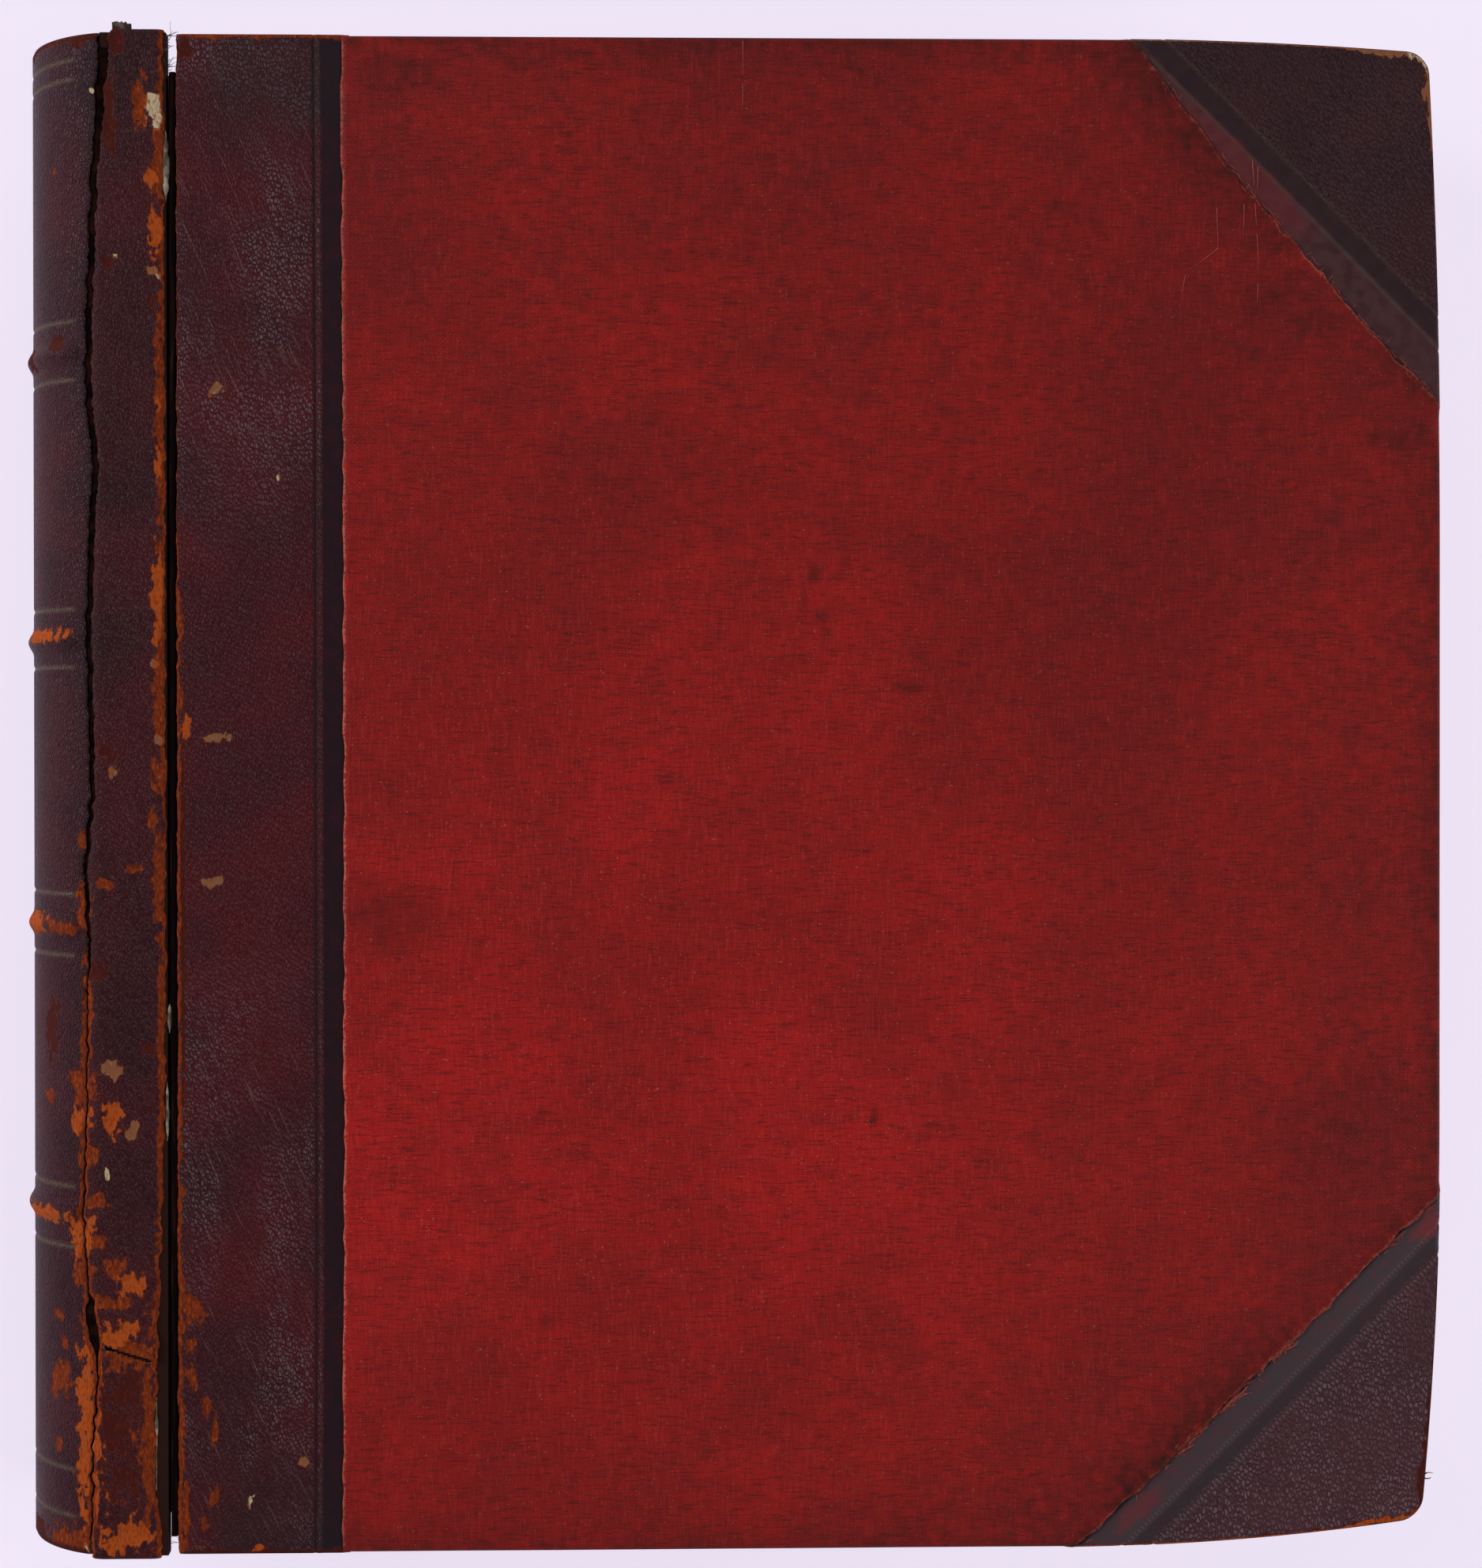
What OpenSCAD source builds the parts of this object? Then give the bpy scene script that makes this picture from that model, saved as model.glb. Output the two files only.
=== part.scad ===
// A large half-bound photograph album, closed, lying on its back board.
// X runs from the spine to the fore-edge, Y from tail to head, Z up. The origin is
// under the middle of the album, on the surface that it lies on.

/* [Cover boards] */
// Width of each cover board, from the joint to the fore-edge
board_w = 300; // [200:1:400]
// Height of each cover board, from tail to head
board_h = 359; // [260:1:450]
// Thickness of the millboard in each cover
board_t = 3.6; // [2:0.1:5]
// Radius of each board's two fore-edge corners
board_corner_r = 4.5; // [2:0.5:12]

/* [Hinge strips and joints] */
// Width of the narrow board between the spine and each cover board
strip_w = 15.6; // [10:0.1:24]
// Length that each hinge strip stands past the boards, at head and at tail
strip_overhang = 1.9; // [0:0.1:4]
// Width of the open joint between a hinge strip and its cover board
joint_gap = 3.3; // [2.8:0.1:5]
// Width of the split between the spine leather and the front hinge strip
split_gap = 0.8; // [0.5:0.1:2]

/* [Spine] */
// Depth of the spine's round, from its crest to its edges
spine_round = 20; // [14:0.5:24]
// Length that the spine stands past the boards, at head and at tail
spine_overhang = 1; // [0:0.1:3]
// Thickness of the stiff card that forms the hollow back
back_card_t = 1.2; // [0.6:0.1:2]
// Angle by which the back card stops short of each edge of the spine leather
back_card_short = 4; // [3:0.5:8]
// Room between the hollow back and the mull
hollow_gap = 0.8; // [0.6:0.05:0.95]
// Length of spine leather turned in over the back card, at head and at tail
spine_turn_in = 12; // [6:0.5:20]
// Clearance between the spine leather and the leather of the back hinge strip
shoulder_gap = 0.05; // [0.02:0.01:0.2]

/* [Raised bands] */
// Height of a raised band over the spine
band_rise = 1.5; // [1:0.1:3]
// Width of a raised band over its leather
band_w = 5.2; // [4:0.1:8]
// Distance from the middle of one raised band to the next
band_pitch = 68.2; // [50:0.1:75]
// Distance from the tail of the boards to the middle of the lowest band
band_tail = 80; // [50:0.5:85]
// Angle by which a raised band stops short of each edge of the spine leather
band_short = 13; // [8:0.5:20]

/* [Coverings] */
// Thickness of the leather
leather_t = 0.8; // [0.7:0.05:1.2]
// Thickness of leather and cloth where they are pared and turned in
pared_t = 0.4; // [0.2:0.05:0.6]
// Thickness of the book cloth
cloth_t = 0.5; // [0.3:0.05:0.6]
// Thickness of the pastedown paper
paper_t = 0.3; // [0.15:0.05:0.5]
// Width of the leather on each board, from the joint to the cloth
leather_on_board = 40; // [20:0.5:70]
// Length of a leather corner along each edge of its board
corner_leg = 85; // [40:1:120]
// Width of the turn-ins on the inner side of the boards and strips
turn_in = 16; // [8:0.5:25]
// Distance from a board's edge to the pastedown
paste_margin = 3; // [1:0.5:7]
// Width of the joint lining on the inner side of a board
lining_w = 12; // [6:0.5:25]
// Width of the joint lining that stands into the open joint
lining_tab = 0.8; // [0.3:0.1:1]

/* [Leaves] */
// Thickness of a leaf: two cards with the linen between them
leaf_t = 1.6; // [1.2:0.05:2.2]
// Room between two leaves for the pictures mounted on them
leaf_gap = 0.9; // [0.7:0.05:0.95]
// Distance that the boards stand past the leaves, at head, tail and fore-edge
square_w = 8; // [3:0.5:14]
// Thickness of a flyleaf
flyleaf_t = 0.4; // [0.2:0.05:0.6]
// Thickness of the linen hinges
linen_t = 0.4; // [0.25:0.05:0.6]
// Width of bare linen from its fold to the card of a leaf
linen_bare = 8; // [6:0.5:14]
// Width of linen glued in between the two cards of a leaf
linen_tongue = 10; // [5:0.5:20]
// Clearance all round the tongue of a linen, which its glue fills
glue_gap = 0.02; // [0.01:0.01:0.1]
// Distance from the middle of the joint to the fold of the linens
fold_offset = 0.8; // [0.7:0.1:1.2]
// Clearance among the covers, the flyleaves and the leaves
lay_gap = 0.3; // [0.2:0.05:0.5]
// Clearance on each side of the line where a linen folds
fold_gap = 0.25; // [0.22:0.01:0.4]

/* [Sewing and bands at head and tail] */
// Thickness of the mull, the open cloth glued to the spine of the stubs
mull_t = 0.3; // [0.2:0.05:0.5]
// Thickness of a sewing tape
tape_t = 0.4; // [0.25:0.05:0.6]
// Width of a sewing tape
tape_w = 15; // [8:0.5:20]
// Distance from the middle of one sewing tape to the next
tape_pitch = 68; // [40:0.5:72]
// Radius of the roll of the head band and the tail band
headband_r = 1.5; // [1:0.1:2.2]
// Length of the headbands' tab that is glued to the spine of the stubs
headband_tab = 10; // [6:0.5:14]
// Angle by which mull, tapes and headbands stop short of the edges of the stubs
mull_short = 1; // [0.5:0.5:4]

/* [Hidden] */
$fn = 96;
leaf_n = 18;
band_n = 4;
tape_n = 5;

// Colours
c_leather = "#4a2329";
c_strip = "#42201f";
c_cloth = "#8a1f20";
c_board = "#a89478";
c_card = "#b9ad94";
c_linen = "#d8ccb0";
c_paper = "#e4dac2";
c_lining = "#2b2322";
c_roll = "#8b3a34";
c_leaf = "#d9cdb2";

// Heights, from the surface that the album lies on
cover_t = leather_t + board_t + pared_t + paper_t;
leaf_pitch = leaf_t + leaf_gap;
leaves_h = (leaf_n - 1) * leaf_pitch + leaf_t;
fly_room = flyleaf_t + 2 * lay_gap;
album_t = 2 * cover_t + 2 * fly_room + leaves_h;
mid_z = album_t / 2;

// Places along X, from the crest of the bands to the fore-edge
album_w = band_rise + spine_round + split_gap + strip_w + joint_gap + board_w + leather_t;
x_spine = band_rise - album_w / 2;
x_strip = x_spine + spine_round + split_gap;
x_stub = x_strip + strip_w;
x_board = x_stub + joint_gap;
x_edge = x_board + board_w;
x_fold = x_stub + joint_gap / 2 + fold_offset;
x_card = x_fold + linen_bare;
x_page = x_edge - square_w;

// Lengths along Y
strip_h = board_h + 2 * strip_overhang;
spine_h = board_h + 2 * spine_overhang;
page_h = board_h - 2 * square_w;
mull_h = page_h - 2 * headband_tab;

// The round of the spine: one centre, with a radius for each layer
spine_r = (mid_z * mid_z + spine_round * spine_round) / (2 * spine_round);
spine_x = x_spine + spine_r;
spine_half_angle = asin(mid_z / spine_r);
card_half_angle = spine_half_angle - back_card_short;
band_half_angle = spine_half_angle - band_short;
card_r = spine_r - leather_t;
hollow_r = card_r - back_card_t;
mull_r = hollow_r - hollow_gap;
tape_r = mull_r - mull_t;
stub_r = tape_r - tape_t;
mull_half_angle = asin((mid_z - cover_t) / mull_r) - mull_short;
x_shoulder = spine_x - card_r * cos(spine_half_angle);

// Height of the middle of a leaf; leaf 1 is the uppermost, under the front cover
function leaf_z(k) = album_t - cover_t - fly_room - leaf_t / 2 - (k - 1) * leaf_pitch;
// Height of the middle of the front and the back flyleaf
front_fly_z = album_t - cover_t - lay_gap - flyleaf_t / 2;
back_fly_z = cover_t + lay_gap + flyleaf_t / 2;
// Heights of the middles of all the linens, from the back to the front
linen_z = concat([back_fly_z], [for (k = [leaf_n:-1:1]) leaf_z(k)], [front_fly_z]);
// Place along Y of the middle of a raised band, counted from the head
function band_y(k) = band_tail + (band_n - k) * band_pitch - board_h / 2;
// Place along Y of the middle of a sewing tape
function tape_y(k) = (k - (tape_n + 1) / 2) * tape_pitch;

// A cover is drawn with its outer face on the surface; the front one is turned over
module turned_over(front) {
    if (front) translate([0, 0, album_t]) mirror([0, 0, 1]) children();
    else children();
}

// A slab of a plan from one height to another
module layer(z0, z1) {
    translate([0, 0, z0]) linear_extrude(z1 - z0) children();
}

// A section in X and Z drawn out along Y
module along_y(h) {
    rotate([90, 0, 0]) linear_extrude(h, center = true) children();
}

// A section in radius and Y swept round the spine's centre, to both sides of the crest
module round_spine(half_angle) {
    translate([spine_x, 0, mid_z]) rotate([-90, 0, 0]) rotate([0, 0, 180 - half_angle])
        rotate_extrude(angle = 2 * half_angle) children();
}

// A rectangle from one corner to the other
module span(x0, x1, y0, y1) {
    translate([x0, y0]) square([x1 - x0, y1 - y0]);
}

// Plan of a cover board, grown by some width at head, tail and fore-edge
module board_plan(grow = 0) {
    r = board_corner_r + grow;
    y = board_h / 2 + grow;
    span(x_board, x_edge + grow - r, -y, y);
    span(x_board, x_edge + grow, r - y, y - r);
    for (s = [-1, 1]) translate([x_edge + grow - r, s * (y - r)]) circle(r);
}

// Plan of the space that the turn-ins leave open
module window_plan() {
    span(x_board, x_edge - turn_in, turn_in - board_h / 2, board_h / 2 - turn_in);
}

// Plan of everything that is leather on the joint side
module joint_side_plan() {
    span(x_board, x_board + leather_on_board, -board_h, board_h);
}

// Plan of a leather corner, at the head (1) or at the tail (-1)
module corner_plan(side) {
    far = board_h;
    y = board_h / 2;
    polygon([
        [x_edge - corner_leg - far, side * (y + far)],
        [x_edge + far, side * (y - corner_leg - far)],
        [x_edge + far, side * (y + far)]]);
}

// Plan of everything that is cloth
module cloth_plan() {
    difference() {
        span(x_board + leather_on_board, x_edge + board_h, -board_h, board_h);
        corner_plan(1);
        corner_plan(-1);
    }
}

// The covering of a board in leather or cloth: the outer face, the edges, the turn-ins
module covering(t) {
    inner = cover_t - paper_t;
    layer(0, t) intersection() { board_plan(t); children(); }
    layer(t, inner) intersection() {
        difference() { board_plan(t); board_plan(); }
        children();
    }
    layer(inner - pared_t, inner) intersection() {
        difference() { board_plan(); window_plan(); }
        children();
    }
}

// The millboard of a cover
module cover_board(front) {
    color(c_board) turned_over(front) layer(leather_t, leather_t + board_t) board_plan();
}

// The paper under the cloth, which brings it level with the leather
module cover_infill(front) {
    color(c_paper) turned_over(front) layer(cloth_t, leather_t)
        intersection() { board_plan(); cloth_plan(); }
}

// The book cloth: outer face, edges and turn-ins
module cover_cloth(front) {
    color(c_cloth) turned_over(front) covering(cloth_t) cloth_plan();
}

// The leather on the joint side of a board
module cover_leather(front) {
    color(c_leather) turned_over(front) covering(leather_t) joint_side_plan();
}

// A leather corner, at the head (1) or at the tail (-1)
module cover_corner(front, side) {
    color(c_leather) turned_over(front) covering(leather_t) corner_plan(side);
}

// A paper or cloth sheet on the inner face of a board, level over its turn-ins
module inner_sheet(x0, x1) {
    y = board_h / 2 - paste_margin;
    layer(cover_t - paper_t, cover_t) span(x0, x1, -y, y);
    layer(cover_t - paper_t - pared_t, cover_t) intersection() {
        window_plan();
        span(x0, x1, -y, y);
    }
}

// The pastedown of a cover
module cover_pastedown(front) {
    color(c_paper) turned_over(front) inner_sheet(x_board + lining_w, x_edge - paste_margin);
}

// The joint lining: a strip on the board, with a free edge in the open joint
module cover_lining(front) {
    color(c_lining) turned_over(front) inner_sheet(x_board - lining_tab, x_board + lining_w);
}

// The narrow board of a hinge strip
module strip_board(front) {
    y = strip_h / 2 - leather_t;
    color(c_board) turned_over(front)
        layer(leather_t, cover_t - pared_t) span(x_strip, x_stub, -y, y);
}

// The leather of a hinge strip, wrapped round both ends of its board
module strip_leather(front) {
    y = strip_h / 2;
    x0 = front ? x_strip : x_shoulder + shoulder_gap;
    color(c_strip) turned_over(front) {
        layer(0, leather_t) span(x0, x_stub, -y, y);
        for (s = [0, 1]) mirror([0, s, 0]) {
            layer(leather_t, cover_t) span(x_strip, x_stub, y - leather_t, y);
            layer(cover_t - pared_t, cover_t) span(x_strip, x_stub, y - turn_in, y - leather_t);
        }
    }
}

// Section of a raised band: a low arch with upright sides, on a foot that sinks into
// what lies under it
module band_section(k, half_w, base_r, foot) {
    side = band_rise / 4;
    translate([0, band_y(k)]) polygon(concat(
        [[base_r - foot, -half_w]],
        [for (a = [0:30:180]) [base_r + side + (band_rise - side) * sin(a), -half_w * cos(a)]],
        [[base_r - foot, half_w]]));
}

// The core of a raised band, glued on the back card under the leather
module band_core(k, foot) {
    round_spine(band_half_angle - leather_t / spine_r * 180 / PI)
        band_section(k, band_w / 2 - leather_t, card_r, foot);
}

module raised_band(k) {
    color(c_card) band_core(k, 0);
}

// The spine leather: the round, the bumps over the bands, the turn-ins at head and tail
// with their folds, which stand a little lower and longer than the round
module spine_leather() {
    end = spine_h / 2;
    shell_end = end - leather_t / 2;
    color(c_leather) difference() {
        union() {
            round_spine(spine_half_angle) span(card_r, spine_r, -shell_end, shell_end);
            round_spine(card_half_angle) for (s = [0, 1]) mirror([0, s]) {
                span(hollow_r - pared_t, spine_r - leather_t / 4, end - leather_t, end);
                span(hollow_r - pared_t, hollow_r, end - spine_turn_in, end - leather_t);
            }
            for (k = [1:band_n]) round_spine(band_half_angle)
                band_section(k, band_w / 2, spine_r, leather_t / 2);
        }
        for (k = [1:band_n]) band_core(k, pared_t);
    }
}

// The hollow back: stiff card, rounded, inside the spine leather
module spine_hollow() {
    y = spine_h / 2 - leather_t;
    color(c_card) round_spine(card_half_angle) span(hollow_r, card_r, -y, y);
}

// The sewing tapes across the spine of the stubs
module sewing_tapes() {
    color(c_linen) round_spine(mull_half_angle) for (k = [1:tape_n])
        span(stub_r, tape_r, tape_y(k) - tape_w / 2, tape_y(k) + tape_w / 2);
}

// The mull, glued over the tapes and between them
module spine_mull() {
    color(c_linen) round_spine(mull_half_angle) difference() {
        span(stub_r, mull_r, -mull_h / 2, mull_h / 2);
        for (k = [1:tape_n])
            span(stub_r - tape_t, tape_r, tape_y(k) - tape_w / 2, tape_y(k) + tape_w / 2);
    }
}

// A headband: a covered roll on the end of the stubs, with a tab glued to their spine
module headband(side) {
    y = page_h / 2;
    color(c_roll) round_spine(mull_half_angle) mirror([0, side < 0 ? 1 : 0]) {
        translate([mull_r - headband_r, y + headband_r]) circle(headband_r);
        span(stub_r, mull_r, y - headband_tab, y + headband_r);
    }
}

// Section of the gutter between two heights, from the round of the stubs to some x
module gutter_section(x1, z0, z1) {
    intersection() {
        union() {
            translate([spine_x, mid_z]) circle(stub_r);
            span(spine_x, x1, mid_z - stub_r, mid_z + stub_r);
        }
        span(x_spine, x1, z0, z1);
    }
}

// The stubs: one between every two linens, and pads in the windows of the hinge strips
module stub_pack() {
    last = len(linen_z);
    color(c_card) {
        for (i = [0:last]) along_y(page_h) gutter_section(x_stub,
            i == 0 ? cover_t : linen_z[i - 1] + linen_t / 2,
            i == last ? album_t - cover_t : linen_z[i] - linen_t / 2);
        for (front = [false, true]) turned_over(front)
            along_y(strip_h - 2 * turn_in) span(x_strip, x_stub, cover_t - pared_t, cover_t);
    }
}

// The guards: linens held between the stubs, out to the line where they fold
module guard_linens() {
    color(c_linen) for (z = linen_z) along_y(page_h)
        gutter_section(x_fold - fold_gap, z - linen_t / 2, z + linen_t / 2);
}

// A flyleaf at a height
module flyleaf(z) {
    color(c_paper) along_y(page_h)
        span(x_fold + fold_gap, x_page, z - flyleaf_t / 2, z + flyleaf_t / 2);
}

// A leaf: two cards glued together, with the tongue of the linen between them
module leaf(k) {
    z = leaf_z(k);
    z0 = z - linen_t / 2;
    z1 = z + linen_t / 2;
    color(c_linen) along_y(page_h) span(x_fold + fold_gap, x_card + linen_tongue, z0, z1);
    color(c_leaf) along_y(page_h) difference() {
        span(x_card, x_page, z - leaf_t / 2, z + leaf_t / 2);
        span(x_fold, x_card + linen_tongue + glue_gap, z0 - glue_gap, z1 + glue_gap);
    }
}

spine_leather();
spine_hollow();
raised_band(1);  // raised_band_1
raised_band(2);  // raised_band_2
raised_band(3);  // raised_band_3
raised_band(4);  // raised_band_4
spine_mull();
sewing_tapes();
headband(1);  // head_band
headband(-1);  // tail_band
stub_pack();
guard_linens();
strip_board(true);  // front_strip_board
strip_leather(true);  // front_strip_leather
strip_board(false);  // back_strip_board
strip_leather(false);  // back_strip_leather
cover_board(true);  // front_board
cover_infill(true);  // front_infill
cover_cloth(true);  // front_cloth
cover_leather(true);  // front_leather
cover_corner(true, 1);  // front_corner_head
cover_corner(true, -1);  // front_corner_tail
cover_pastedown(true);  // front_pastedown
cover_lining(true);  // front_joint_lining
cover_board(false);  // back_board
cover_infill(false);  // back_infill
cover_cloth(false);  // back_cloth
cover_leather(false);  // back_leather
cover_corner(false, 1);  // back_corner_head
cover_corner(false, -1);  // back_corner_tail
cover_pastedown(false);  // back_pastedown
cover_lining(false);  // back_joint_lining
flyleaf(front_fly_z);  // front_flyleaf
flyleaf(back_fly_z);  // back_flyleaf
leaf(1);  // leaf_01
leaf(2);  // leaf_02
leaf(3);  // leaf_03
leaf(4);  // leaf_04
leaf(5);  // leaf_05
leaf(6);  // leaf_06
leaf(7);  // leaf_07
leaf(8);  // leaf_08
leaf(9);  // leaf_09
leaf(10);  // leaf_10
leaf(11);  // leaf_11
leaf(12);  // leaf_12
leaf(13);  // leaf_13
leaf(14);  // leaf_14
leaf(15);  // leaf_15
leaf(16);  // leaf_16
leaf(17);  // leaf_17
leaf(18);  // leaf_18
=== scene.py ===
import math

import bmesh
import bpy
import numpy as np
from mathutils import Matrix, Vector


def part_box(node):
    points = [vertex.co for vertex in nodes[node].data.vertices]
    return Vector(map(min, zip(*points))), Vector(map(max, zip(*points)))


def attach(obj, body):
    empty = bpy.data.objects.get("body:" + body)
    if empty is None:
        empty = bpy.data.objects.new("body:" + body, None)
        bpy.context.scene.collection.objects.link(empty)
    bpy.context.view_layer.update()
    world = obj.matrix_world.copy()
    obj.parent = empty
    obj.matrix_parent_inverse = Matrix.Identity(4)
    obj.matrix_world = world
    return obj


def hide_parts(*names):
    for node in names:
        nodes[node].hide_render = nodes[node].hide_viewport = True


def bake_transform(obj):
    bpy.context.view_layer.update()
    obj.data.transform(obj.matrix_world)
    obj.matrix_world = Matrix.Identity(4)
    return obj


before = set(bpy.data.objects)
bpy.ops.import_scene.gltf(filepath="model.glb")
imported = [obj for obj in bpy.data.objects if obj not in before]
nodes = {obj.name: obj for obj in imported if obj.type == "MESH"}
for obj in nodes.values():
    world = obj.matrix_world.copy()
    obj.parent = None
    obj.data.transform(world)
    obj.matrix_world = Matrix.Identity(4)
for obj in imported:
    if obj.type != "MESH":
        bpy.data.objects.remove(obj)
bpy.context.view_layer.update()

# The leaves
# Eighteen stiff leaves, each two cream cards glued over a tongue of linen, which alone
# reaches the fold. Calendered card: smooth and matt, browned where air and thumbs reach.
MM = 0.001
LEAF_BODIES = [f"leaf_{k:02d}" for k in range(1, 19)]
CARD_CREAM = "#cfc3a6"
CARD_SHADE = "#bcab87"
CARD_EDGE = "#8f7a58"
LINEN_PALE = "#cbbf9f"
LINEN_DARK = "#a3946f"


def linear(code):
    """Linear colour of an sRGB hex value."""
    parts = [int(code[i:i + 2], 16) / 255 for i in (1, 3, 5)]
    return [p / 12.92 if p <= 0.04045 else ((p + 0.055) / 1.055) ** 2.4 for p in parts] + [1]


def add(tree, kind, inputs=None, **settings):
    """Adds one node with its settings, its values and the links that feed it."""
    node = tree.nodes.new(kind)
    for name, value in settings.items():
        setattr(node, name, value)
    for name, value in (inputs or {}).items():
        if isinstance(value, bpy.types.NodeSocket):
            tree.links.new(value, node.inputs[name])
        else:
            node.inputs[name].default_value = value
    return node


def begin_material(name, roughness, ior=1.5, sheen=0.0, gloss=0.4):
    """A material with one shader, its uniform values set on the shader itself."""
    material = bpy.data.materials.new(name)
    material.use_nodes = True
    tree = material.node_tree
    tree.nodes.clear()
    shader = add(tree, "ShaderNodeBsdfPrincipled", {"Roughness": roughness, "IOR": ior})
    shader.inputs["Sheen Weight"].default_value = sheen
    shader.inputs["Specular IOR Level"].default_value = gloss
    add(tree, "ShaderNodeOutputMaterial", {"Surface": shader.outputs["BSDF"]})
    return material, tree, shader


def maths(tree, operation, *values, clamp=False):
    """Arithmetic on up to three values, each a number or a socket."""
    return add(tree, "ShaderNodeMath", dict(enumerate(values)), operation=operation,
               use_clamp=clamp).outputs[0]


def rest_place(tree, painted):
    """A point's place at rest in millimetres: painted on a mesh, or a CAD part's own."""
    if painted:
        return add(tree, "ShaderNodeAttribute", attribute_name="rest").outputs["Vector"]
    own = add(tree, "ShaderNodeTexCoord").outputs["Object"]
    scaled = add(tree, "ShaderNodeVectorMath", {0: own, "Scale": 1 / MM}, operation="SCALE")
    return scaled.outputs[0]


def noise(tree, place, size, stretch=(1, 1, 1), detail=3.0):
    """Noise whose lumps are about size millimetres across, drawn out by stretch."""
    scaled = add(tree, "ShaderNodeMapping", {0: place, "Scale": [1 / (size * k) for k in stretch]})
    return add(tree, "ShaderNodeTexNoise",
               {"Vector": scaled.outputs[0], "Scale": 1.0, "Detail": detail}).outputs[0]


def between(tree, value, low, high, to_low=0.0, to_high=1.0):
    """Smooth step of a value from low to high."""
    return add(tree, "ShaderNodeMapRange",
               {0: value, 1: low, 2: high, 3: to_low, 4: to_high},
               interpolation_type="SMOOTHSTEP").outputs[0]


def blended(tree, factor, first, second):
    """Colour that goes from the first to the second, each a hex value or a socket."""
    ends = [linear(end) if isinstance(end, str) else end for end in (first, second)]
    return add(tree, "ShaderNodeMix", {0: factor, 6: ends[0], 7: ends[1]},
               data_type="RGBA").outputs[2]


def weave(tree, place, thread):
    """Height of a plain weave with its threads that many millimetres apart."""
    parts = add(tree, "ShaderNodeSeparateXYZ", {0: place}).outputs
    waves = [maths(tree, "SINE", maths(tree, "MULTIPLY", parts[axis], math.pi / thread))
             for axis in (0, 1)]
    return maths(tree, "MULTIPLY", *waves)


def surfaced(tree, shader, colour, height, depth):
    """Gives a shader its colour, and bumps that are so many millimetres deep."""
    tree.links.new(colour, shader.inputs["Base Color"])
    bump = add(tree, "ShaderNodeBump", {"Strength": 1.0, "Distance": depth * MM, "Height": height})
    tree.links.new(bump.outputs[0], shader.inputs["Normal"])


def box_mm(name):
    """Lowest and highest corner of a CAD node, in millimetres."""
    return [np.array(corner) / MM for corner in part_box(name)]


def dress(name, material):
    """Gives a CAD node a material in each of its slots."""
    for slot in nodes[name].material_slots:
        slot.material = material


LINEN_BARE = 8
BROWNED = 9
leaf_lo, leaf_hi = box_mm("leaf_01")
fold_x = (box_mm("guard_linens")[1][0] + leaf_lo[0]) / 2
card_x = fold_x + LINEN_BARE


def near_edges(tree, place, ends, front, patch):
    """How near a point lies to the free edges of a leaf, broken up in patches of a size."""
    parts = add(tree, "ShaderNodeSeparateXYZ", {0: place}).outputs
    near_end = between(tree, maths(tree, "ABSOLUTE", parts[1]), *ends)
    nearest = maths(tree, "MAXIMUM", near_end, between(tree, parts[0], *front))
    return maths(tree, "MULTIPLY", nearest, noise(tree, place, patch))


def leaf_card():
    """Cream card, browned towards its three free edges, with bare linen by the fold."""
    material, tree, shader = begin_material("album_card_calendered", 0.72)
    place = rest_place(tree, painted=False)
    aged = blended(tree, noise(tree, place, 45), CARD_CREAM, CARD_SHADE)
    patchy = near_edges(tree, place, (leaf_hi[1] - BROWNED, leaf_hi[1]),
                        (leaf_hi[0] - BROWNED, leaf_hi[0]), 6)
    darkened_outwards = blended(tree, patchy, aged, CARD_EDGE)
    foxed = blended(tree, between(tree, noise(tree, place, 5), 0.68, 0.78), darkened_outwards, "#a37f4f")
    linen = blended(tree, between(tree, weave(tree, place, 0.6), -1, 1), LINEN_DARK, LINEN_PALE)
    x = add(tree, "ShaderNodeSeparateXYZ", {0: place}).outputs[0]
    shown = blended(tree, maths(tree, "GREATER_THAN", x, card_x), linen, foxed)
    surfaced(tree, shader, shown, noise(tree, place, 0.7), 0.08)
    return material


card_material = leaf_card()
for body in LEAF_BODIES:
    dress(body, card_material)

# The linen of the leaves
# Unbleached linen, plain woven and starched, held between the stubs and bent at the
# fold. A strip of it runs along the line on which each leaf and flyleaf turns.
FOLD_FROM, FOLD_TO = -2.35, 7.95
LINEN_T = 0.46


def linen_woven(name, pale, dark, thread, painted):
    """Plain linen, its threads drawn about one and a half times as coarse as real ones."""
    material, tree, shader = begin_material(name, 0.85, sheen=0.1)
    place = rest_place(tree, painted)
    threads = weave(tree, place, thread)
    soiled = blended(tree, noise(tree, place, 12), pale, dark)
    shaded = blended(tree, between(tree, threads, -1, 1, 0.0, 0.5), soiled, dark)
    surfaced(tree, shader, shaded, threads, 0.1)
    return material


def placed(name, data):
    """A new object of the scene."""
    thing = bpy.data.objects.new(name, data)
    bpy.context.scene.collection.objects.link(thing)
    return thing


def quad_mesh(name, points, quads):
    """A new piece, made of quads."""
    mesh = bpy.data.meshes.new(name)
    mesh.from_pydata(points.tolist(), [], quads.reshape(-1, 4).tolist())
    return placed(name, mesh)


def flat_grid(name, across, along):
    """A flat mesh of quads, to be bent later: one coordinate across, the other along."""
    a, b = np.meshgrid(across, along, indexing="ij")
    flat = np.stack([a, b, np.zeros_like(a)], -1).reshape(-1, 3)
    index = np.arange(a.size).reshape(a.shape)
    quads = np.stack([index[:-1, :-1], index[1:, :-1], index[1:, 1:], index[:-1, 1:]], -1)
    return quad_mesh(name, flat, quads)


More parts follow.
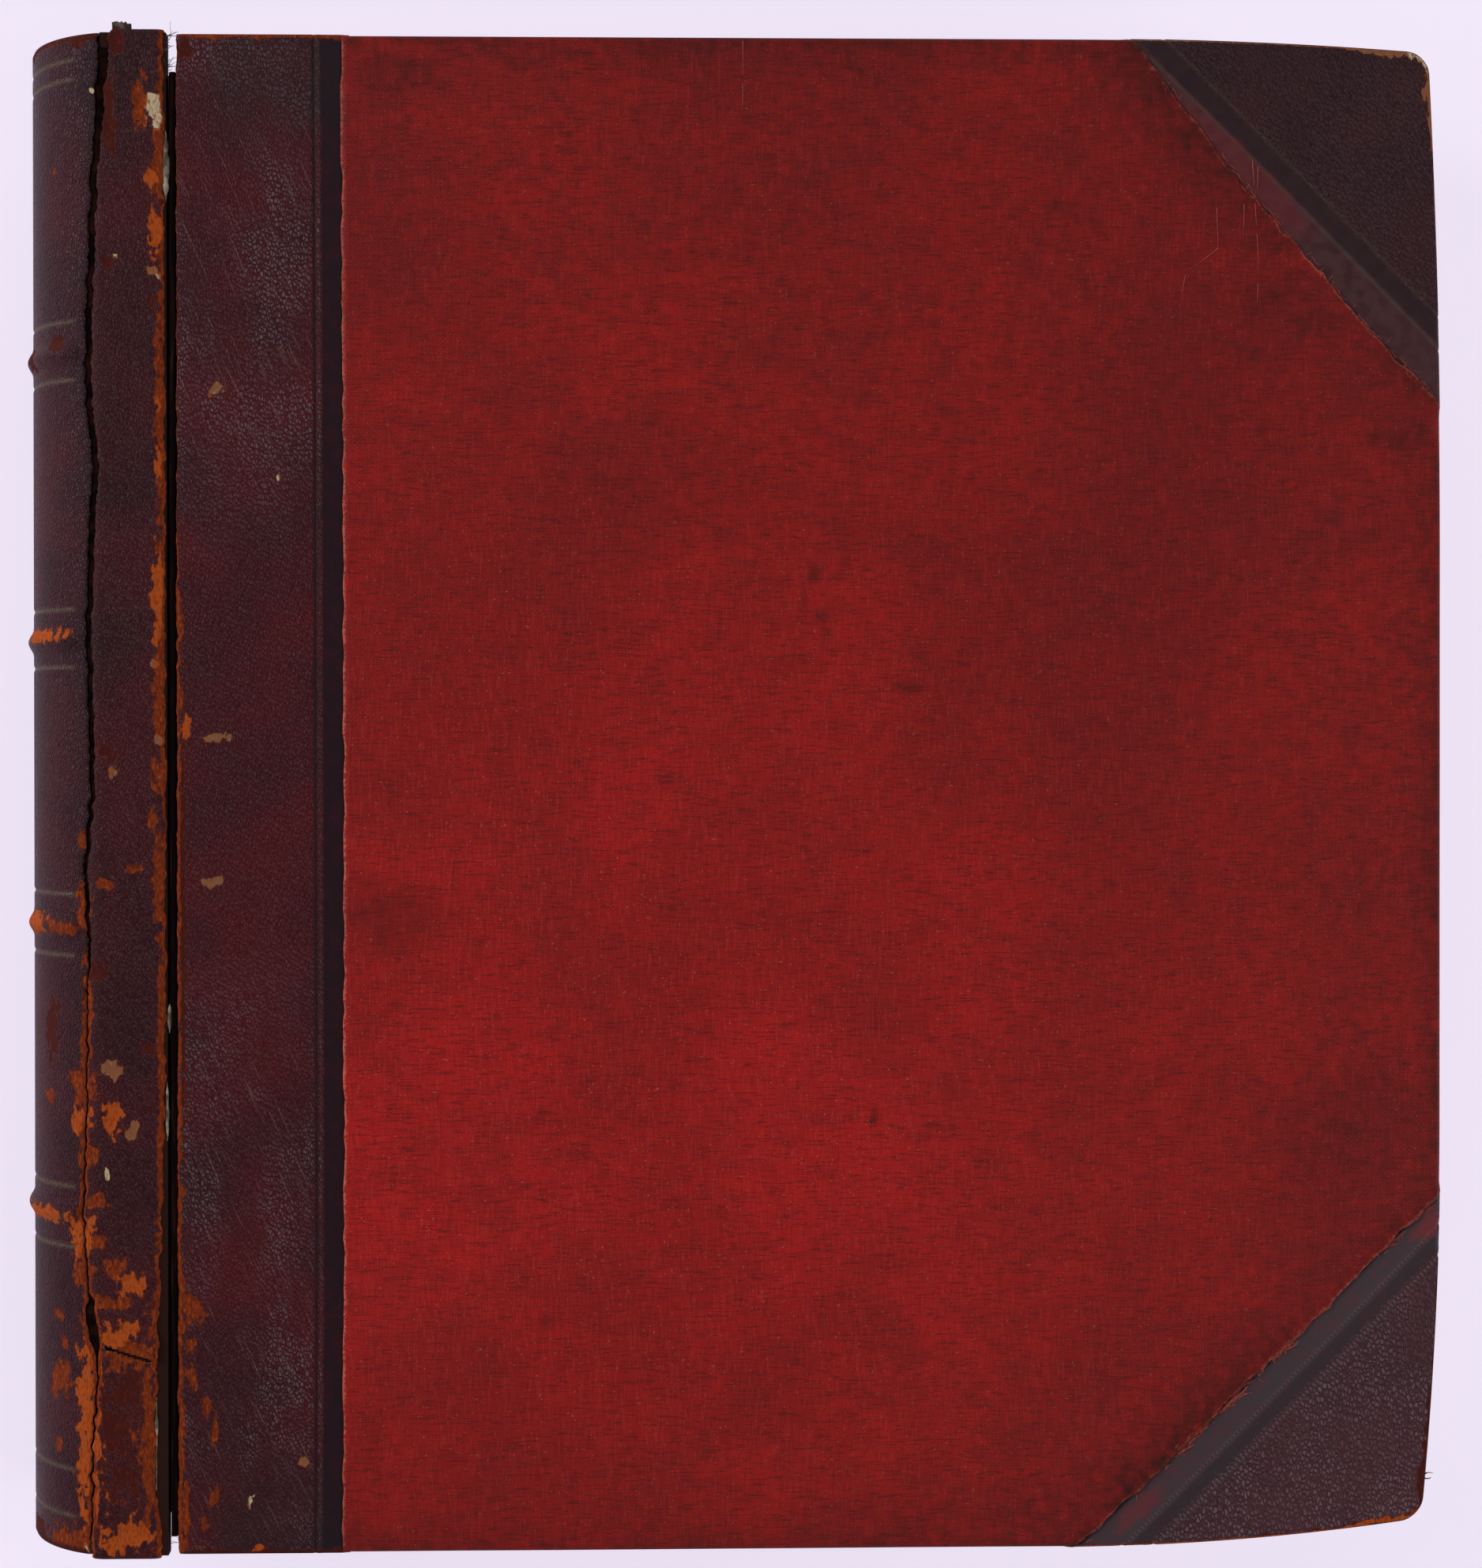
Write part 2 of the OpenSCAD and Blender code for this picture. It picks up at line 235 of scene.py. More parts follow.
def flat_places(piece):
    """The flat coordinates of a mesh's points, across and along."""
    flat = np.zeros(len(piece.data.vertices) * 3, np.float32)
    piece.data.vertices.foreach_get("co", flat)
    flat = flat.reshape(-1, 3).astype(float)
    return flat[:, 0], flat[:, 1]


def paint_values(mesh, paint):
    """Keeps values of a mesh's points for its material: single numbers, or places."""
    for label, values in paint.items():
        vector = np.ndim(values) == 2
        layer = mesh.attributes.new(label, "FLOAT_VECTOR" if vector else "FLOAT", "POINT")
        layer.data.foreach_set("vector" if vector else "value", values.astype(np.float32).ravel())


def bend_mesh(piece, points, paint, flip=False):
    """Puts a flat mesh's points in place, in millimetres, and paints its values."""
    mesh = piece.data
    points = np.stack(points, -1)
    mesh.vertices.foreach_set("co", (points * MM).astype(np.float32).ravel())
    paint_values(mesh, {"rest": points, **paint})
    if flip:
        mesh.flip_normals()
    mesh.shade_smooth()
    mesh.update()


def thicken(piece, thickness, *materials):
    """Gives a sheet its thickness, inwards; a second material goes on its cut edges."""
    for material in materials:
        piece.data.materials.append(material)
    solid = piece.modifiers.new("thickness", "SOLIDIFY")
    solid.thickness = thickness * MM
    solid.offset = -1
    solid.material_offset_rim = len(materials) - 1


linen_material = linen_woven("linen_starched", LINEN_PALE, LINEN_DARK, 0.6, painted=True)
linen_cad_material = linen_woven("linen_guards", LINEN_PALE, LINEN_DARK, 0.6, painted=False)
dress("guard_linens", linen_cad_material)
for body in LEAF_BODIES + ["front_flyleaf", "back_flyleaf"]:
    z = sum(box_mm(body))[2] / 2
    across = np.concatenate([np.linspace(FOLD_FROM, 2, 18), np.linspace(2.6, FOLD_TO, 6)])
    fold = flat_grid(f"{body}_linen_fold", across, np.linspace(leaf_lo[1], leaf_hi[1], 60))
    u, y = flat_places(fold)
    bend_mesh(fold, (fold_x + u, y, np.full_like(u, z + LINEN_T / 2)), {})
    thicken(fold, LINEN_T, linen_material)
    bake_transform(fold)

# The stubs, the tapes and the mull
# Strips of the same card packed between the linens hold the leaves apart at the spine.
# Cotton tapes and starched open mull are glued over them with animal glue, browned now.


def stub_card():
    """The cut edges of packed card: layer upon layer, greyer and dustier than the leaves."""
    material, tree, shader = begin_material("album_card_cut_edges", 0.85)
    place = rest_place(tree, painted=False)
    layers = noise(tree, place, 1.0, stretch=(8, 8, 0.35))
    tinted = blended(tree, layers, "#a3967c", "#b9ad92")
    dusty = blended(tree, noise(tree, place, 9), tinted, "#8b7d64")
    surfaced(tree, shader, dusty, layers, 0.15)
    return material


dress("stub_pack", stub_card())
dress("spine_mull", linen_woven("mull_glued", "#a8916a", "#7c6643", 0.9, painted=False))
dress("sewing_tapes", linen_woven("cotton_tape", "#b9aa88", "#93835f", 0.7, painted=False))

# The headbands
# A roll of cord at the head and the tail of the stubs, wound with two colours of silk,
# four turns of each. The turns stand out as fine ridges with a soft gloss.
SILK_PITCH = 0.9
SILK_TURNS = 4
hollow_lo, hollow_hi = box_mm("spine_hollow")
band_lo, band_hi = box_mm("head_band")
crest_hi = box_mm("spine_leather")[1]
top_z = crest_hi[2]
mid_z = top_z / 2
edge_x = crest_hi[0]
crest_x = hollow_lo[0] - 0.8
round_deep = edge_x - crest_x
spine_r = (mid_z ** 2 + round_deep ** 2) / (2 * round_deep)
centre_x = crest_x + spine_r


def painted_value(tree, label):
    """A value that is painted on a mesh."""
    return add(tree, "ShaderNodeAttribute", attribute_name=label).outputs["Fac"]


def silk_wound():
    """Silk in two colours, crimson and straw, changing every few turns along the roll."""
    material, tree, shader = begin_material("headband_silk_wound", 0.45, sheen=0.4)
    place = rest_place(tree, painted=True)
    step = maths(tree, "MODULO", painted_value(tree, "turns"), 2.0 * SILK_TURNS)
    second = maths(tree, "GREATER_THAN", step, float(SILK_TURNS))
    striped = blended(tree, second, "#7a2422", "#b39a68")
    dusty = blended(tree, noise(tree, place, 4), striped, "#6d5a48")
    surfaced(tree, shader, dusty, noise(tree, place, 0.5), 0.05)
    return material


silk = silk_wound()
roll_r = (band_hi[1] - leaf_hi[1]) / 2
roll_at = centre_x - band_lo[0] - roll_r
half_roll = math.radians(56)
for end, name in ((1, "head_band"), (-1, "tail_band")):
    dress(name, linen_woven(f"{name}_cloth", "#8b4038", "#5c2a24", 0.8, painted=False))
    arc = np.arange(-half_roll, half_roll, 0.16 / roll_at)
    roll = flat_grid(f"{name}_winding", np.linspace(0, 2 * math.pi, 19), arc)
    around, a = flat_places(roll)
    turn = (a + half_roll) * roll_at / SILK_PITCH
    r = roll_r + 0.05 + 0.07 * np.abs(np.sin(math.pi * turn))
    out = roll_at + r * np.cos(around)
    y = end * (leaf_hi[1] + roll_r + r * np.sin(around))
    bend_mesh(roll, (centre_x - out * np.cos(a), y, mid_z + out * np.sin(a)), {"turns": turn},
              flip=end > 0)
    roll.data.materials.append(silk)
    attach(roll, "spine_block")

# The hollow back and the cords under the raised bands
# Stiff grey pulp card, rolled damp to the round of the spine, with strips of thick card
# glued across it for the bands. Matt and fibrous, dark in patches with glue and dust.


def pulp_card(name, pale, dark):
    """Grey pulp card, with the short fibres and specks of waste paper in it."""
    material, tree, shader = begin_material(name, 0.9)
    place = rest_place(tree, painted=False)
    fibres = noise(tree, place, 1.2, stretch=(3, 1, 1))
    flecked = blended(tree, fibres, dark, pale)
    dirty = blended(tree, between(tree, noise(tree, place, 14), 0.45, 0.7), flecked, dark)
    surfaced(tree, shader, dirty, fibres, 0.12)
    return material


dress("spine_hollow", pulp_card("back_card_rolled", "#6b5c4b", "#2c2019"))
for k in range(1, 5):
    dress(f"raised_band_{k}", pulp_card(f"band_card_{k}", "#8a7a62", "#5a4936"))

# The boards
# Millboard: rope and paper waste pressed in sheets, grey-cream and hard, a little worn in
# at its fore-edge corners, so that the edges bow in towards them.
board_lo, board_hi = box_mm("front_board")
board_x, fore_x, half_h = board_lo[0], board_hi[0], board_hi[1]
CORNER_R = 4.5
# Where the bow of each edge begins, and how deep it is; less on the back board
BOWS = {"head": (86, 3.1), "tail": (78, 6.3), "fore_head": (60, 3.1), "fore_tail": (80, 4.6)}
BOW_SHARE = {"front": 1.0, "back": 0.7}


def bowed(x, y, side):
    """Moves a point of a board's plan inwards, as its edges bow near the fore-edge corners."""
    bows = []
    for head_bow, tail_bow in (("head", "tail"), ("fore_head", "fore_tail")):
        bows += [np.where(y > 0, a, b) for a, b in zip(BOWS[head_bow], BOWS[tail_bow])]
    start, deep, fore_start, fore_deep = bows
    down = deep * np.clip((x - start) / (fore_x - start), 0, 1.1) ** 2.1
    back = fore_deep * np.clip((np.abs(y) - fore_start) / (half_h - fore_start), 0, 1.1) ** 2
    reach = np.clip((x - board_x) / (fore_x - board_x), 0, 1.1)
    return x - BOW_SHARE[side] * back * reach, y - BOW_SHARE[side] * down * y / half_h


def board_outline(step=6.0):
    """The plan of a board: square at the joint, round at its two fore-edge corners."""
    turn = np.linspace(0, math.pi / 2, 9)
    x = list(np.arange(board_x, fore_x - CORNER_R, step))
    y = [-half_h] * len(x)
    x += list(fore_x - CORNER_R + CORNER_R * np.sin(turn))
    y += list(-half_h + CORNER_R - CORNER_R * np.cos(turn))
    side = np.arange(-half_h + CORNER_R + step, half_h - CORNER_R - 1, step)
    x += [fore_x] * len(side)
    y += list(side)
    x += list(fore_x - CORNER_R + CORNER_R * np.cos(turn))
    y += list(half_h - CORNER_R + CORNER_R * np.sin(turn))
    back = np.arange(fore_x - CORNER_R - step, board_x, -step)
    x += list(back) + [board_x]
    y += [half_h] * (len(back) + 1)
    return np.array(x), np.array(y)


def millboard(name):
    """Pressed millboard, its cut edge darkened by handling, and near-black at the joint as painted shade
    of the gap beside it.
    """
    material, tree, shader = begin_material(name, 0.9, gloss=0.1)
    place = rest_place(tree, painted=False)
    layers = noise(tree, place, 0.9, stretch=(6, 6, 0.5))
    pressed = blended(tree, layers, "#7d6a50", "#a89478")
    handled = blended(tree, between(tree, noise(tree, place, 7), 0.4, 0.65), pressed, "#4a3726")
    x = add(tree, "ShaderNodeSeparateXYZ", {0: place}).outputs[0]
    # Near-black towards the joint: painted shade of the gap between board and strip.
    joint_shade = between(tree, x, board_x + 0.5, board_x + 2.5, 1.0, 0.0)
    surfaced(tree, shader, blended(tree, joint_shade, handled, "#24100b"), layers, 0.15)
    return material


board_material = millboard("millboard_pressed")
# The strip's board lies wholly within that darkening, so it is near-black all over: painted shade.
strip_board_material = millboard("millboard_glue_stained_and_shaded")
for side in ("front", "back"):
    low, high = box_mm(f"{side}_board")
    x, y = bowed(*board_outline(), side)
    shell = bmesh.new()
    ring = [shell.verts.new((a * MM, b * MM, low[2] * MM)) for a, b in zip(x, y)]
    plan = shell.faces.new(ring)
    bmesh.ops.recalc_face_normals(shell, faces=[plan])
    grown = bmesh.ops.extrude_face_region(shell, geom=[plan])
    lifted = [g for g in grown["geom"] if isinstance(g, bmesh.types.BMVert)]
    bmesh.ops.translate(shell, verts=lifted, vec=(0, 0, (high[2] - low[2]) * MM))
    bmesh.ops.recalc_face_normals(shell, faces=shell.faces[:])
    mesh = bpy.data.meshes.new(f"{side}_board_core")
    shell.to_mesh(mesh)
    shell.free()
    core = placed(f"{side}_board_core", mesh)
    core.data.materials.append(board_material)
    soft_edge = core.modifiers.new("soft edge", "BEVEL")
    soft_edge.width = 0.35 * MM
    soft_edge.segments = 2
    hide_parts(f"{side}_board")
    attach(core, f"{side}_cover")
    dress(f"{side}_strip_board", strip_board_material)
    dress(f"{side}_infill", card_material)

# The leather of the spine, the hinge strips and the joints
# Goatskin in a hard morocco grain over russet-tanned hide, dyed plum-black and glazed.
# It is split along the front shoulder and joint, and rubbed through to the orange hide.
RED, RUSSET, ORANGE, TAN, CREAM = 0.0, 0.3, 0.5, 0.75, 1.0
HIDE_TONES = [(0.0, "#3a100c"), (0.3, "#6a270b"), (0.5, "#984110"), (0.66, "#72432a"),
              (0.84, "#70503a"), (1.0, "#ac987a")]
SPINE_T = 0.4
STRIP_T = 0.55
COVER_T = 0.5
LEATHER_GROW = 0.8
TURN_IN = 14.0
JOINT_GAP = 3.3
arc_deep = math.asin(mid_z / spine_r)
round_s = 2 * arc_deep * spine_r
SHOULDER_SOFT = 1.1
DOT_PITCH = 1.1

BAND_YS = (105.1, 36.9, -31.3, -99.5)
BAND_RISE = 1.3
BAND_HALF = 3.4
BAND_END = 30.0
TOOL_YS = (112.7, 98.8, 44.3, 30.5, -23.4, -38.1, -93.1, -107.5, 174.6, 170.0, -160.6, -171.7)

# The split along the shoulder: place along Y, and along the leather from the shoulder
SPLIT_Y = (182, 180, 160, 134, 98, 76, 57, 39, 20, 1, -17, -36, -70, -100, -128, -134, -158, -182)
SPLIT_S = (-1.8, -1.6, -0.2, 1.8, 3.0, 0.6, 2.0, 2.7, 2.3, 1.7, 3.5, 2.9, 3.4, 4.6, 2.0, 0.6, 2.1, 2.4)
# Its width
GAP_Y = (182, 150, 60, 0, -30, -45, -118, -121, -125, -130, -133, -182)
GAP_W = (2.7, 2.0, 1.8, 1.4, 1.2, 0.3, 0.35, 2.2, 3.0, 2.6, 0.35, 0.3)
# The split along the joint: the strip's edge and the board's edge
STRIP_EDGE_Y = (182, 157, 57, -74, -130, -149, -166, -175, -182)
STRIP_EDGE_X = (-133.9, -133.7, -133.4, -133.6, -135.4, -136.0, -136.2, -134.8, -134.6)

# Rubbed places: middle along the leather from the shoulder, along Y, width, height, tone
RUBBED = [
    (-4, 179, 3.4, 6, RED), (-2.5, 162, 3, 16, RED), (-10, 163.5, 3, 11, RUSSET),
    (-13.8, 161.7, 6, 8.5, CREAM), (-14.5, 149.5, 3, 17, RUSSET), (-13.5, 146, 4.4, 4.4, ORANGE),
    (-14, 133.4, 3.6, 10.5, ORANGE), (-12.8, 124, 3, 2, TAN), (-12.5, 116.5, 2, 2.5, RED),
    (-14.9, 90, 2.6, 43, RUSSET), (-14.4, 92, 2, 6, ORANGE), (-14.5, 79, 2.2, 9, ORANGE),
    (-14.6, 58.7, 2.8, 3, RUSSET), (-14.2, 46.3, 3.0, 22, ORANGE), (-14.5, 24, 2.8, 22, RUSSET),
    (-13.8, 31, 2, 2, TAN), (-14.2, 13, 2.4, 2.4, TAN), (-14, 4.4, 3, 7.5, RUSSET),
    (-13, -5.7, 2.2, 5, RUSSET), (-14.2, -20.7, 2.4, 21, RUSSET), (-14.8, -73, 1.8, 67, RUSSET),
    (-2.5, 126.7, 2.4, 3, RED), (-2, 10.3, 3.8, 3.2, RED), (-3.4, 5.6, 1.8, 2.8, TAN),
    (-8.4, -17.6, 4, 2, RUSSET), (-1.4, -21.2, 4, 2.2, RUSSET), (0.8, -42, 5, 4.3, RED),
    (-3.2, -64.7, 4.3, 4, TAN), (-2.9, -75.7, 4.2, 8.6, ORANGE), (-8, -80, 2.6, 5, TAN),
    (-11.3, -60.4, 3.3, 3, RED), (1, -96.2, 5.8, 3, RUSSET), (0.5, -106.3, 4, 4, RUSSET),
    (-4, -112, 5, 4, RUSSET), (-7.5, -116, 6, 5, ORANGE), (-3, -120.2, 11, 2.6, RUSSET),
    (-5, -128, 9, 6, ORANGE), (-7.5, -133, 12, 7, RUSSET), (-11.7, -153, 2.8, 45, RUSSET),
    (-7.4, -141.7, 6, 9, RED), (-3, -150, 5, 10, RED), (-6, -162, 7, 6, RED),
    (-6, -176, 12, 6.5, ORANGE),
    (4.8, -10, 2.6, 4, RUSSET), (4, -26.4, 4, 11, RUSSET), (3.2, -51, 2.6, 24, RUSSET),
    (4.3, -68, 6.5, 8.7, RUSSET), (5, -76.7, 6, 6, ORANGE), (2.5, -85, 5, 4.4, RUSSET),
    (4.8, -104.6, 6.6, 10, ORANGE), (4.2, -113, 5.4, 6, RUSSET), (3, -151, 6.6, 44, ORANGE),
    (26, 105.3, 9, 5, RED), (12, 107.5, 5, 3.4, RED), (20, 38.2, 22, 3.6, ORANGE),
    (23, -30.8, 15, 4.6, ORANGE), (11, -31.6, 9, 3, RUSSET), (19, -100.4, 22, 3.6, ORANGE),
    (15, -57, 5, 13, RED), (16.5, -72, 4, 3, RUSSET), (13.5, 148.8, 1.5, 1.4, RUSSET),
    (12.3, -124, 3, 2.6, RUSSET), (10.7, -131, 3, 3.4, RUSSET), (11.8, -139.5, 6, 8.5, RUSSET),
    (12.8, -155.3, 2.4, 4.4, RUSSET), (9, -177.5, 14, 6, RUSSET), (24, -178, 12, 5, RED),
    (2.8, -179, 2.4, 3, CREAM), (-4.4, 127.8, 1.1, 1.2, CREAM), (-1.9, -89.5, 1.1, 2.6, CREAM),
    (-14.6, 122.6, 1.2, 1.4, CREAM), (1.2, 166.6, 1.6, 1.4, CREAM),
    (5.5, 179, 4, 3, RED), (40, 38, 18, 2.4, RED), (42, -31, 14, 2.6, RUSSET),
    (36, -100.5, 16, 2.4, RED), (38, 178.5, 26, 3, RED), (45, -179, 24, 4, RED),
]


def wander(y, step, seed):
    """A random line between -1 and 1, with a new value every step millimetres."""
    knots = np.arange(-210, 210 + step, step)
    return np.interp(y, knots, np.random.default_rng(seed).uniform(-1, 1, len(knots)))


def along_leather(s):
    """Place in X and Z, and the way out, s millimetres along the leather's outer face
    from the front shoulder: negative towards the front board, positive round the spine."""
    def raw(s):
        a = arc_deep - np.clip(s, 0, round_s) / spine_r
        x = centre_x - spine_r * np.cos(a)
        x = np.where(s < 0, edge_x - s, np.where(s > round_s, edge_x + s - round_s, x))
        z = np.where(s < 0, top_z, np.where(s > round_s, 0.0, mid_z + spine_r * np.sin(a)))
        return np.stack([x, z])

    offsets = np.linspace(-2, 2, 9)
    weights = np.exp(-offsets ** 2)
    weights /= weights.sum()
    place, tangent = 0, 0
    for offset, weight in zip(offsets, weights):
        place = place + weight * raw(s + offset * SHOULDER_SOFT)
        ahead = raw(s + offset * SHOULDER_SOFT + 0.2)
        behind = raw(s + offset * SHOULDER_SOFT - 0.2)
        tangent = tangent + weight * (ahead - behind)
    tangent /= np.hypot(*tangent)
    return place[0], place[1], tangent[1], -tangent[0]


def folded_over(past, deep, bend=1.0):
    """Where a sheet goes past an edge: its place along, from the edge, and how far down."""
    over = past + bend
    quarter = bend * math.pi / 2
    upright = deep - 2 * bend
    first = np.clip(over, 0, quarter) / bend
    second = np.clip(over - quarter - upright, 0, quarter) / bend
    along = np.where(over < 0, over, bend * np.sin(first)) - bend
    along = along + bend * (np.cos(second) - 1) - np.maximum(over - 2 * quarter - upright, 0)
    down = bend * (1 - np.cos(first)) + np.clip(over - quarter, 0, upright) + bend * np.sin(second)
    return along, down


def upright_share(down):
    """How much of a sheet's lift still points up where it is folded down over an edge."""
    return np.cos(np.clip(down / 2, 0, 1) * math.pi / 2)


def stations(start, end, step, near=(), reach=1.6, fine=0.3, least=0.14):
    """Places a step apart from start to end, closer together near some of them."""
    places = list(np.arange(start, end, step)) + [end]
    for middle in near:
        places += list(np.arange(middle - reach, middle + reach, fine))
    places = np.unique(np.round(np.array(places) / least) * least)
    return places[(places >= start) & (places <= end)]


def paint_rubbed(s, y, marks):
    """How far the leather is rubbed through, from 0 to 1, and the tone that shows."""
    worn, tone = np.zeros_like(s), np.full_like(s, RUSSET)
    off_s = 0.9 * wander(y, 3.1, 6) + 0.5 * wander(y, 1.3, 7)
    off_y = 1.5 * wander(s, 2.3, 8) + 0.6 * wander(s, 0.9, 9)
    off_y = off_y * np.clip((12 - s) / 8, 0.2, 1)
    for middle, height_at, width, height, mark_tone in marks:
        across = np.abs((s + off_s * min(1, width / 6) - middle) / (width / 2)) ** 2.5
        along = np.abs((y + off_y * min(1, height / 6) - height_at) / (height / 2)) ** 2.5
        value = np.clip(1.25 - 0.75 * (across + along) ** 0.4, 0, 1)
        tone = np.where(value > worn, mark_tone, tone)
        worn = np.maximum(worn, value)
    return worn, tone


def edge_worn(worn, tone, distance, width, edge_tone):
    """Adds wear along an edge, as wide as given, to what is painted."""
    value = np.clip(1.2 - 0.7 * distance / np.maximum(width, 0.05), 0, 1)
    return np.maximum(worn, value), np.where(value > worn, edge_tone, tone)


def morocco(name, deep, light, top, grain, relief, polish, smooth="#1f1117", stained=0.15):
    """Glazed goatskin: pebbles with creases between them painted dark as shade, grey where the tops
    are rubbed and, on the spine's crest, as painted sheen, smooth where it was burnished, and raw orange
    hide where it is worn through."""
    material, tree, shader = begin_material(name, polish, gloss=0.1)
    place = rest_place(tree, painted=True)
    painted = {label: painted_value(tree, label)
               for label in ("worn", "tone", "smooth", "tooled", "inked_and_shade", "rubbed_and_sheen", "dotted",
                             "along", "stuck")}
    drawn = add(tree, "ShaderNodeMapping",
                {0: place, "Rotation": (0, 0, 0.3), "Scale": (1, 0.62, 1)}).outputs[0]
    bent = add(tree, "ShaderNodeTexNoise", {"Vector": drawn, "Scale": 0.8 / grain})
    shift = add(tree, "ShaderNodeVectorMath", {0: bent.outputs["Color"], "Scale": 0.9 * grain},
                operation="SCALE")
    warped = add(tree, "ShaderNodeVectorMath", {0: drawn, 1: shift.outputs[0]}, operation="ADD")
    cells = add(tree, "ShaderNodeTexVoronoi",
                {"Vector": warped.outputs[0], "Scale": 1 / grain, "Randomness": 0.9},
                feature="DISTANCE_TO_EDGE")
    pebble = between(tree, cells.outputs["Distance"], 0.0, 0.32)
    grained = maths(tree, "MULTIPLY", pebble, maths(tree, "SUBTRACT", 1.0, painted["smooth"]))

    dyed = blended(tree, between(tree, noise(tree, place, 26), 0.25, 0.75), deep, light)
    # The creases between the pebbles darkened towards near-black: painted shade.
    crease_shaded = blended(tree, between(tree, grained, 0.0, 0.6, 0.35, 0.0), dyed, "#0c0405")
    patches = between(tree, noise(tree, place, 16, stretch=(1, 2, 1)), 0.38, 0.62)
    tops = maths(tree, "MULTIPLY", between(tree, grained, 0.55, 1.0),
                 maths(tree, "MULTIPLY", patches, painted["rubbed_and_sheen"]))
    dulled = blended(tree, tops, crease_shaded, top)
    turned = add(tree, "ShaderNodeMapping", {0: place, "Rotation": (0, 0, -0.42)}).outputs[0]
    streaks = noise(tree, turned, 0.4, stretch=(1, 30, 1), detail=1.0)
    scratched = maths(tree, "MULTIPLY", between(tree, streaks, 0.64, 0.7, 0.0, 0.28),
                      painted["rubbed_and_sheen"])
    dulled = blended(tree, scratched, dulled, "#665049")

    spots = between(tree, noise(tree, place, 3.5, detail=5.0), 0.4, 0.65, 0.0, stained)
    burnished = blended(tree, painted["smooth"], dulled, blended(tree, spots, smooth, dyed))
    # Darkened towards blue-black: the tooled bands, and painted shade beside the split and under the
    # cloth's edge.
    burnished = blended(tree, painted["inked_and_shade"], burnished, "#1c161b")
    pressed = blended(tree, painted["tooled"], burnished, "#5a4c3e")
    wave = maths(tree, "SINE", maths(tree, "MULTIPLY", painted["along"], 2 * math.pi / DOT_PITCH))
    dots = maths(tree, "MULTIPLY", between(tree, wave, -0.2, 0.4), painted["dotted"])
    pressed = blended(tree, dots, pressed, "#75605e")
    pressed = blended(tree, painted["stuck"], pressed, "#6e2226")

    tattered = noise(tree, place, 1.7, stretch=(1, 1.6, 1), detail=7.0)
    anywhere = maths(tree, "MULTIPLY", painted["worn"], 4.0, clamp=True)
    reach = maths(tree, "MULTIPLY_ADD", maths(tree, "MULTIPLY_ADD", tattered, 2.4, -1.2), anywhere,
                  painted["worn"])
    through = between(tree, reach, 0.44, 0.56)
    fibres = noise(tree, place, 0.5, stretch=(1, 2.5, 1), detail=5.0)
    shade = maths(tree, "MULTIPLY_ADD", fibres, 0.8, painted["tone"])
    hide = add(tree, "ShaderNodeValToRGB", {0: maths(tree, "SUBTRACT", shade, 0.43)})
    for k, (at, code) in enumerate(HIDE_TONES):
        stop = hide.color_ramp.elements[k] if k < 2 else hide.color_ramp.elements.new(at)
        stop.position = at
        stop.color = linear(code)
    rimmed = maths(tree, "MULTIPLY", between(tree, reach, 0.2, 0.45), 0.7)
    scuffed = blended(tree, rimmed, pressed, "#4a150f")
    shown = blended(tree, through, scuffed, hide.outputs[0])
    tree.links.new(maths(tree, "MULTIPLY_ADD", through, 0.9 - polish, polish),
                   shader.inputs["Roughness"])
    skin = maths(tree, "ADD", grained, maths(tree, "MULTIPLY", noise(tree, place, 0.35), 0.25))
    flesh = maths(tree, "ADD", maths(tree, "MULTIPLY", through, -0.8), fibres)
    height = add(tree, "ShaderNodeMix", {0: through, 2: skin, 3: flesh}, data_type="FLOAT")
    surfaced(tree, shader, shown, height.outputs[0], relief)
    return material


def raw_hide(name):
    """The torn edge of the hide: loose orange fibres, matt, turning near-black towards the head as
    painted shade of the split.
    """
    material, tree, shader = begin_material(name, 0.95, sheen=0.2)
    place = rest_place(tree, painted=True)
    fibres = noise(tree, place, 0.4, stretch=(1, 2, 1), detail=5.0)
    y = add(tree, "ShaderNodeSeparateXYZ", {0: place}).outputs[1]
    fresh = blended(tree, fibres, "#5c2410", "#a8551a")
    # Near-black from the middle of the spine up to the head: painted shade of the deep split.
    surfaced(tree, shader, blended(tree, between(tree, y, -60, 0), fresh, "#35120e"), fibres, 0.3)
    return material


def band_height(s, y):
    """Height of the leather over the raised bands, less the pressed lines beside them."""
    inside = np.clip((BAND_END + 1.5 - np.abs(s - round_s / 2)) / 3, 0, 1)
    height = np.zeros_like(s)
    for band_y in BAND_YS:
        arch = np.clip(1 - np.abs(y - band_y) / BAND_HALF, 0, 1)
        height += BAND_RISE * (0.5 - 0.5 * np.cos(math.pi * arch))
    pressed = tool_mark(s, y)
    return height * inside ** 0.5 - 0.3 * pressed, pressed


def drop_faces(piece, test):
    """Removes the faces of a flat mesh whose middles meet a test, and their loose points."""
    work = bmesh.new()
    work.from_mesh(piece.data)
    gone = [f for f in work.faces if test(*f.calc_center_median()[:2])]
    bmesh.ops.delete(work, geom=gone, context="FACES")
    work.to_mesh(piece.data)
    work.free()


def tool_mark(s, y):
    """Where the hot fillet pressed its lines across the spine."""
    inside = np.clip((BAND_END + 0.8 - np.abs(s - round_s / 2)) / 1.5, 0, 1)
    pressed = np.zeros_like(s)
    for line_y in TOOL_YS:
        pressed = np.maximum(pressed, np.exp(-((y - line_y) / 0.5) ** 2))
    return pressed * inside


def from_head(y, places, values):
    """Value at a place along Y, from values at places that are listed from the head down."""
    return np.interp(-y, [-place for place in places], values)


